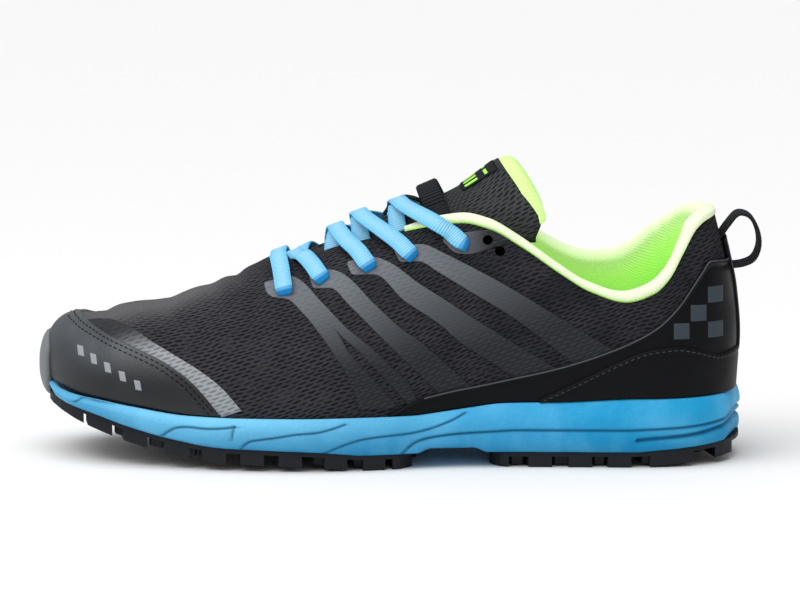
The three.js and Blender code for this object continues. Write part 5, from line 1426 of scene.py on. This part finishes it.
def makeFoam():
    s = cosineSteps(foamValues["rings"])
    s = np.unique(np.concatenate([s * 0.5 + 0.5 * np.linspace(0, 1, len(s)), s]))
    s = s[np.concatenate([[True], np.diff(s) > 0.0011])]
    s[-1] = 1
    rings = loopRings(s)
    side, station = sideOf(rings), stationOf(rings)

    def row(inset, height, tail=None):
        x, y = outline(side, station, inset, tail)
        return np.stack([x, y, height(x)], -1)

    def drawn(points, f):
        near = np.clip(1 - points[:, 0] / 16, 0, 1) ** 2
        return points + np.stack([near * toeBack(f), 0 * near, 0 * near], -1)

    rows = [row(4.2, foamBottomAt, 2.4), drawn(row(2.6, lambda x: foamBottomAt(x) + 0.05, heelTail(0)), 0.0)]
    shades = [0 * station, 0 * station]
    for f in np.linspace(0.02, 0.965, foamValues["sideRows"]):
        plain = row(sideInset(f), lambda x: mix(foamBottomAt(x), rimAt(x), f), heelTail(f))
        relief, grooveShade = sideRelief(plain[:, 0], plain[:, 2])
        shades.append(grooveShade)
        x, y = outline(side, station, sideInset(f) + relief, heelTail(f) + relief)
        rows.append(drawn(np.stack([x, y, plain[:, 2]], -1), f))
    edge = sole["rimInset"]
    rows += [row(edge + 0.1, lambda x: rimAt(x) - 0.15, 0.7 * edge), row(edge + 0.6, rimAt),
             row(edge + 1.1, lambda x: rimAt(x) - 0.1), row(edge + 1.3, lambda x: rimAt(x) - 0.6),
             row(sole["footbedInset"], footbedAt)]
    rows = np.stack(rows)
    shades += [0 * station] * (len(rows) - len(shades))
    return stackRows("foamMidsole", rows, [foamBlue], np.stack([rows[..., 0], np.stack(shades)], -1))


ride(makeFoam(), ["midsole"])
print("stage: foam")


def makeInsole():
    rings = loopRings(cosineSteps(120))
    side, station = sideOf(rings), stationOf(rings)
    inset = sole["footbedInset"] + airGap + shape["wall"] + airGap
    rows = []
    for extra, rise in ((0, 0), (0, 2.6), (0.3, 3.4), (0.8, 3.9), (1.6, 4.1), (3.5, 4.15)):
        x, y = outline(side, station, inset + extra)
        rows.append(np.stack([x, y, footbedAt(x) + airGap + rise], -1))
    return stackRows("insolePad", np.stack(rows), [insoleCloth])


ride(makeInsole(), ["insole"])

bumperValues = dict(reach=0.0085, thick=0.9, seat=2.8, tuck=1.3)  # reach is a share of the shoe's length
bumperRows = [  # height, inset
    (23.6, 4.6), (25.4, 3.2), (28, 1.9), (32, 0.95), (36, 0.65), (40, 0.75), (44, 1.35), (47.5, 2.4),
    (50, 3.7)]


def makeBumper():
    insetAt = curve(bumperRows, 1)
    low, high = bumperRows[0][0], bumperRows[-1][0]
    reach = float(ringOf(lateral, bumperValues["reach"]))
    rings = np.linspace(-reach, reach, 61)
    ringGrid, up = np.meshgrid(rings, np.linspace(0, 1, 40), indexing="ij")
    edge = 1 - np.abs(ringGrid) / reach
    crown = mix(0.3, 1, np.sqrt(np.clip(edge * 1.8, 0, 1)))
    z = mix((low + high) / 2, mix(low, high, up), crown)
    side = np.where(ringGrid < 0, medial, lateral)
    fromEdge = np.minimum(np.minimum(up, 1 - up) * (high - low) * crown, edge * 16)
    inset = insetAt(z) - bumperValues["thick"] * rounded(fromEdge, 1.2)
    inset = inset + bumperValues["tuck"] * (1 - edge) ** 3
    x1, y1 = outline(side, stationOf(ringGrid), inset)
    x0, y0 = outline(side, stationOf(ringGrid), insetAt(z) + bumperValues["seat"])
    outer = np.stack([x1, y1, z], -1)
    inner = np.stack([x0, y0, z], -1)
    return shell("toeRubber", outer, inner, np.stack([y1, z], -1), [bumperSkin])


ride(makeBumper(), ["toe_bumper"])

for name in ("outsole_forefoot", "outsole_heel"):
    node = bpy.data.objects[name]
    node.data.materials.clear()
    node.data.materials.append(rubberSkin)

stepRows = [  # station of the lug, step's start and end from the lug's middle
    (0.1, 4.2, 9), (0.15, 4.2, 10.2), (0.208, 4.2, 6.5), (0.43, -10.8, -4.2), (0.483, -10.2, -4.2),
    (0.655, 4.2, 9.6), (0.715, 4.2, 10.8), (0.771, 4.2, 9), (0.884, -9.4, -4.2)]


def treadStep(name, side, s, start, end):  # a lower block of rubber, set back beside a lug
    x0, x1 = s * soleLong + start, s * soleLong + end
    corners = []
    for share in (0, 0.12, 0.88, 1):
        x = mix(x0, x1, share)
        edge = swing(s) + side * halfAt(side, s) * tipRound(s)
        back = 0.8 if share in (0, 1) else 0.0
        low = groundAt(x) + 0.7 + 0.5 * back
        high = groundAt(x) + (treadHeight - airGap) * taperAt(x) - 0.4
        corners.append([(x, float(edge) - side * depth, float(z)) for depth, z in (
            (4.6 + back, high), (6.0 + back, low), (12.5, low), (14.0, high))])
    return loftRows(name, np.array(corners), [rubberSkin])


steps = [shaded(treadStep(f"step{i}{word}", side, *row), False)
         for i, row in enumerate(stepRows) for side, word in sideWords]
ride(joined("treadSteps", steps), None)
print("stage: sole")


# Stitches: a row of thread lengths laid along a path, turned to the surface under them.
def stitchTree():
    tree = bpy.data.node_groups.new("stitchRow", "GeometryNodeTree")
    sockets = [("Path", "Geometry"), ("Pitch", "Float"), ("Stitch Length", "Float"),
               ("Thread Width", "Float"), ("Thread", "Material")]
    for name, kind in sockets:
        tree.interface.new_socket(name, in_out="INPUT", socket_type="NodeSocket" + kind)
    tree.interface.new_socket("Stitches", in_out="OUTPUT", socket_type="NodeSocketGeometry")
    given, result, toCurve, even, ball, size, moved, outward, along, turn, placed, real, coat = (
        tree.nodes.new(kind) for kind in (
            "NodeGroupInput", "NodeGroupOutput", "GeometryNodeMeshToCurve", "GeometryNodeResampleCurve",
            "GeometryNodeMeshUVSphere", "ShaderNodeCombineXYZ", "GeometryNodeTransform",
            "GeometryNodeInputNamedAttribute", "GeometryNodeInputTangent", "FunctionNodeAxesToRotation",
            "GeometryNodeInstanceOnPoints", "GeometryNodeRealizeInstances", "GeometryNodeSetMaterial"))
    even.mode = "LENGTH"
    for key, value in (("Segments", 6), ("Rings", 4), ("Radius", 0.5)):
        ball.inputs[key].default_value = value
    outward.data_type = "FLOAT_VECTOR"
    outward.inputs["Name"].default_value = "outward"
    turn.primary_axis, turn.secondary_axis = "X", "Z"
    for a, output, b, entry in (
            (given, "Path", toCurve, "Mesh"), (toCurve, "Curve", even, "Curve"),
            (given, "Pitch", even, "Length"), (given, "Stitch Length", size, "X"),
            (given, "Thread Width", size, "Y"), (given, "Thread Width", size, "Z"),
            (ball, "Mesh", moved, "Geometry"), (size, "Vector", moved, "Scale"),
            (along, "Tangent", turn, "Primary Axis"), (outward, "Attribute", turn, "Secondary Axis"),
            (even, "Curve", placed, "Points"), (moved, "Geometry", placed, "Instance"),
            (turn, "Rotation", placed, "Rotation"), (placed, "Instances", real, "Geometry"),
            (real, "Geometry", coat, "Geometry"), (given, "Thread", coat, "Material"),
            (coat, "Geometry", result, "Stitches")):
        tree.links.new(a.outputs[output], b.inputs[entry])
    return tree


stitchRow = stitchTree()


def stitches(name, points, outward, pitch=2.6, long=2.0, wide=0.6, thread=threadDark):
    mesh = bpy.data.meshes.new(name)
    edges = [(i, i + 1) for i in range(len(points) - 1)]
    mesh.from_pydata(((points + origin) / 1000).tolist(), edges, [])
    layer = mesh.attributes.new("outward", "FLOAT_VECTOR", "POINT")
    layer.data.foreach_set("vector", np.asarray(outward, float).ravel())
    obj = linked(name, mesh)
    mod = obj.modifiers.new("stitchRow", "NODES")
    mod.node_group = stitchRow
    keys = {s.name: s.identifier for s in stitchRow.interface.items_tree if s.in_out == "INPUT"}
    for key, value in (("Pitch", pitch), ("Stitch Length", long), ("Thread Width", wide)):
        mod[keys[key]] = value / 1000
    mod[keys["Thread"]] = thread
    return shaded(applied(obj), True)


def skinPath(side, rows, inward, lift, count=220, start=0.0):  # a line inside a side-view edge, on the skin
    line = smoothPath(rows, count)
    run = unit(np.gradient(line, axis=0))
    line = line + np.stack([run[:, 1], -run[:, 0]], -1) * inward
    line = line[line[:, 0] > start]
    r, t = locate(side, line[:, 0], line[:, 1])
    return skin(r, t, lift), skinNormal(r, t)


def stitchedEdge(name, rows, inward, lift, start=0.0, **options):  # on both sides of the shoe
    pieces = []
    for side, word in sideWords:
        points, outward = skinPath(side, rows, inward, lift, start=start)
        pieces.append(stitches(f"{name}{word}{int(inward * 10)}", points, outward, **options))
    return pieces


capEdge = [(14.6, 58.9)] + capRows[1:-1] + [(75.5, 26)]
capStitches = [piece for inward in (1.6, 3.4) for piece in stitchedEdge(
    "capStitch", capEdge, inward, capThickness + 0.1, 16 - inward, wide=0.55)]
ride(joined("capStitching", capStitches), None)
counterEdge = [(209.5, 29.5)] + counterRows[1:]
counterStitches = stitchedEdge("counterStitch", counterEdge, 1.4, 2.4, wide=0.5, thread=threadGrey)
ride(joined("counterStitching", counterStitches), None)
print("stage: stitches")

# A cord along the wing's top edge: piping, its light grey a painted edge highlight.
pipes = [cord(f"wingPipe{word}", *skinPath(side, wingRows[2:], 0.5, wingThickness + 0.1, 160), 0.42)
         for side, word in sideWords]
ride(joined("wingPiping", pipes), None)

# Plain marks: a row of squares on the toe cap and a few blocks on the heel wing.
toeMarks = [(19.5, 45.2), (25.2, 42.6), (31.2, 39.8), (37.4, 36.8), (43.8, 33.6)]  # x, height of the middle
heelMarks = [(265.5, 55.6, 3.2), (272.5, 62.6, 3.2), (279.5, 55.6, 3.2), (279.5, 69.6, 3.2)]  # and half size
markThickness = 0.12


def toeMark(i, x, z):  # a square slanted with the cap
    left = [(x - 1.5, z + 1.9), (x - 1.1, z), (x - 0.7, z - 1.9)]
    right = [(x + 1.1, z + 1.5), (x + 1.5, z - 0.4), (x + 1.9, z - 2.3)]
    return film(f"toeMark{i}", lateral, left, right, markGrey, markThickness, rows=10, columns=8,
                lift=capThickness)


def heelMark(name, side, x, z, size):
    left, right = ([(x + out, z + up * size) for up in (1, 0, -1)] for out in (-size, size))
    return film(name, side, left, right, slatePrint, markThickness, rows=12, columns=10, lift=wingThickness)


ride(joined("toeMarks", [toeMark(i, *row) for i, row in enumerate(toeMarks)]), None)
ride(joined("heelMarks", [heelMark(f"heelMark{i}{word}", side, *row) for side, word in sideWords
                          for i, row in enumerate(heelMarks)]), None)
print("stage: marks")

for cutter in cutters.values():
    removed(cutter)

# Floor, light and camera.
stageValues = dict(elevation=8.0, distance=1.685, lens=182, aim=(0.0014, 0.0011, 0.0637), sky=0.48)
lightRows = [  # kind, power, size or angle, place
    ("skyLight", "SUN", 1.9, 1.1, (-0.25, -0.3, 1.2)), ("keyLight", "AREA", 3.0, 0.8, (-0.7, -0.6, 0.8))]


def makeStage():
    bpy.ops.mesh.primitive_plane_add(size=12, location=(0, 0, 0))
    floor = bpy.context.object
    floor.name = "studioFloor"
    floor.data.materials.append(newMaterial("floorPaint", (0.93, 0.93, 0.93), 0.75))
    world = bpy.data.worlds.new("studioWorld")
    bpy.context.scene.world = world
    world.use_nodes = True
    background = world.node_tree.nodes["Background"]
    background.inputs["Color"].default_value = (1, 1, 1, 1)
    background.inputs["Strength"].default_value = stageValues["sky"]
    for name, kind, power, size, place in lightRows:
        light = bpy.data.lights.new(name, kind)
        light.energy = power
        if kind == "SUN":
            light.angle = size
        else:
            light.size = size
        lamp = linked(name, light)
        lamp.location = place
        aim = Vector((0, 0, 0.05)) - Vector(place)
        lamp.rotation_euler = aim.to_track_quat("-Z", "Y").to_euler()


def makeCamera():
    data = bpy.data.cameras.new("studioCamera")
    data.lens = stageValues["lens"]
    data.sensor_width = 36
    camera = linked("studioCamera", data)
    rise = math.radians(stageValues["elevation"])
    target = Vector(stageValues["aim"])
    camera.location = target + Vector((0, -math.cos(rise), math.sin(rise))) * stageValues["distance"]
    camera.rotation_euler = (target - camera.location).to_track_quat("-Z", "Y").to_euler()
    bpy.context.scene.camera = camera


makeStage()
makeCamera()
bpy.context.scene.view_settings.view_transform = "Standard"
meshes = [o for o in bpy.data.objects if o.type == "MESH"]
counts = {o.name: sum(len(f.vertices) - 2 for f in o.data.polygons) for o in meshes}
print("stage: triangles", sum(counts.values()), "largest", sorted(counts.items(), key=lambda c: -c[1])[:4])

print("stage: done")
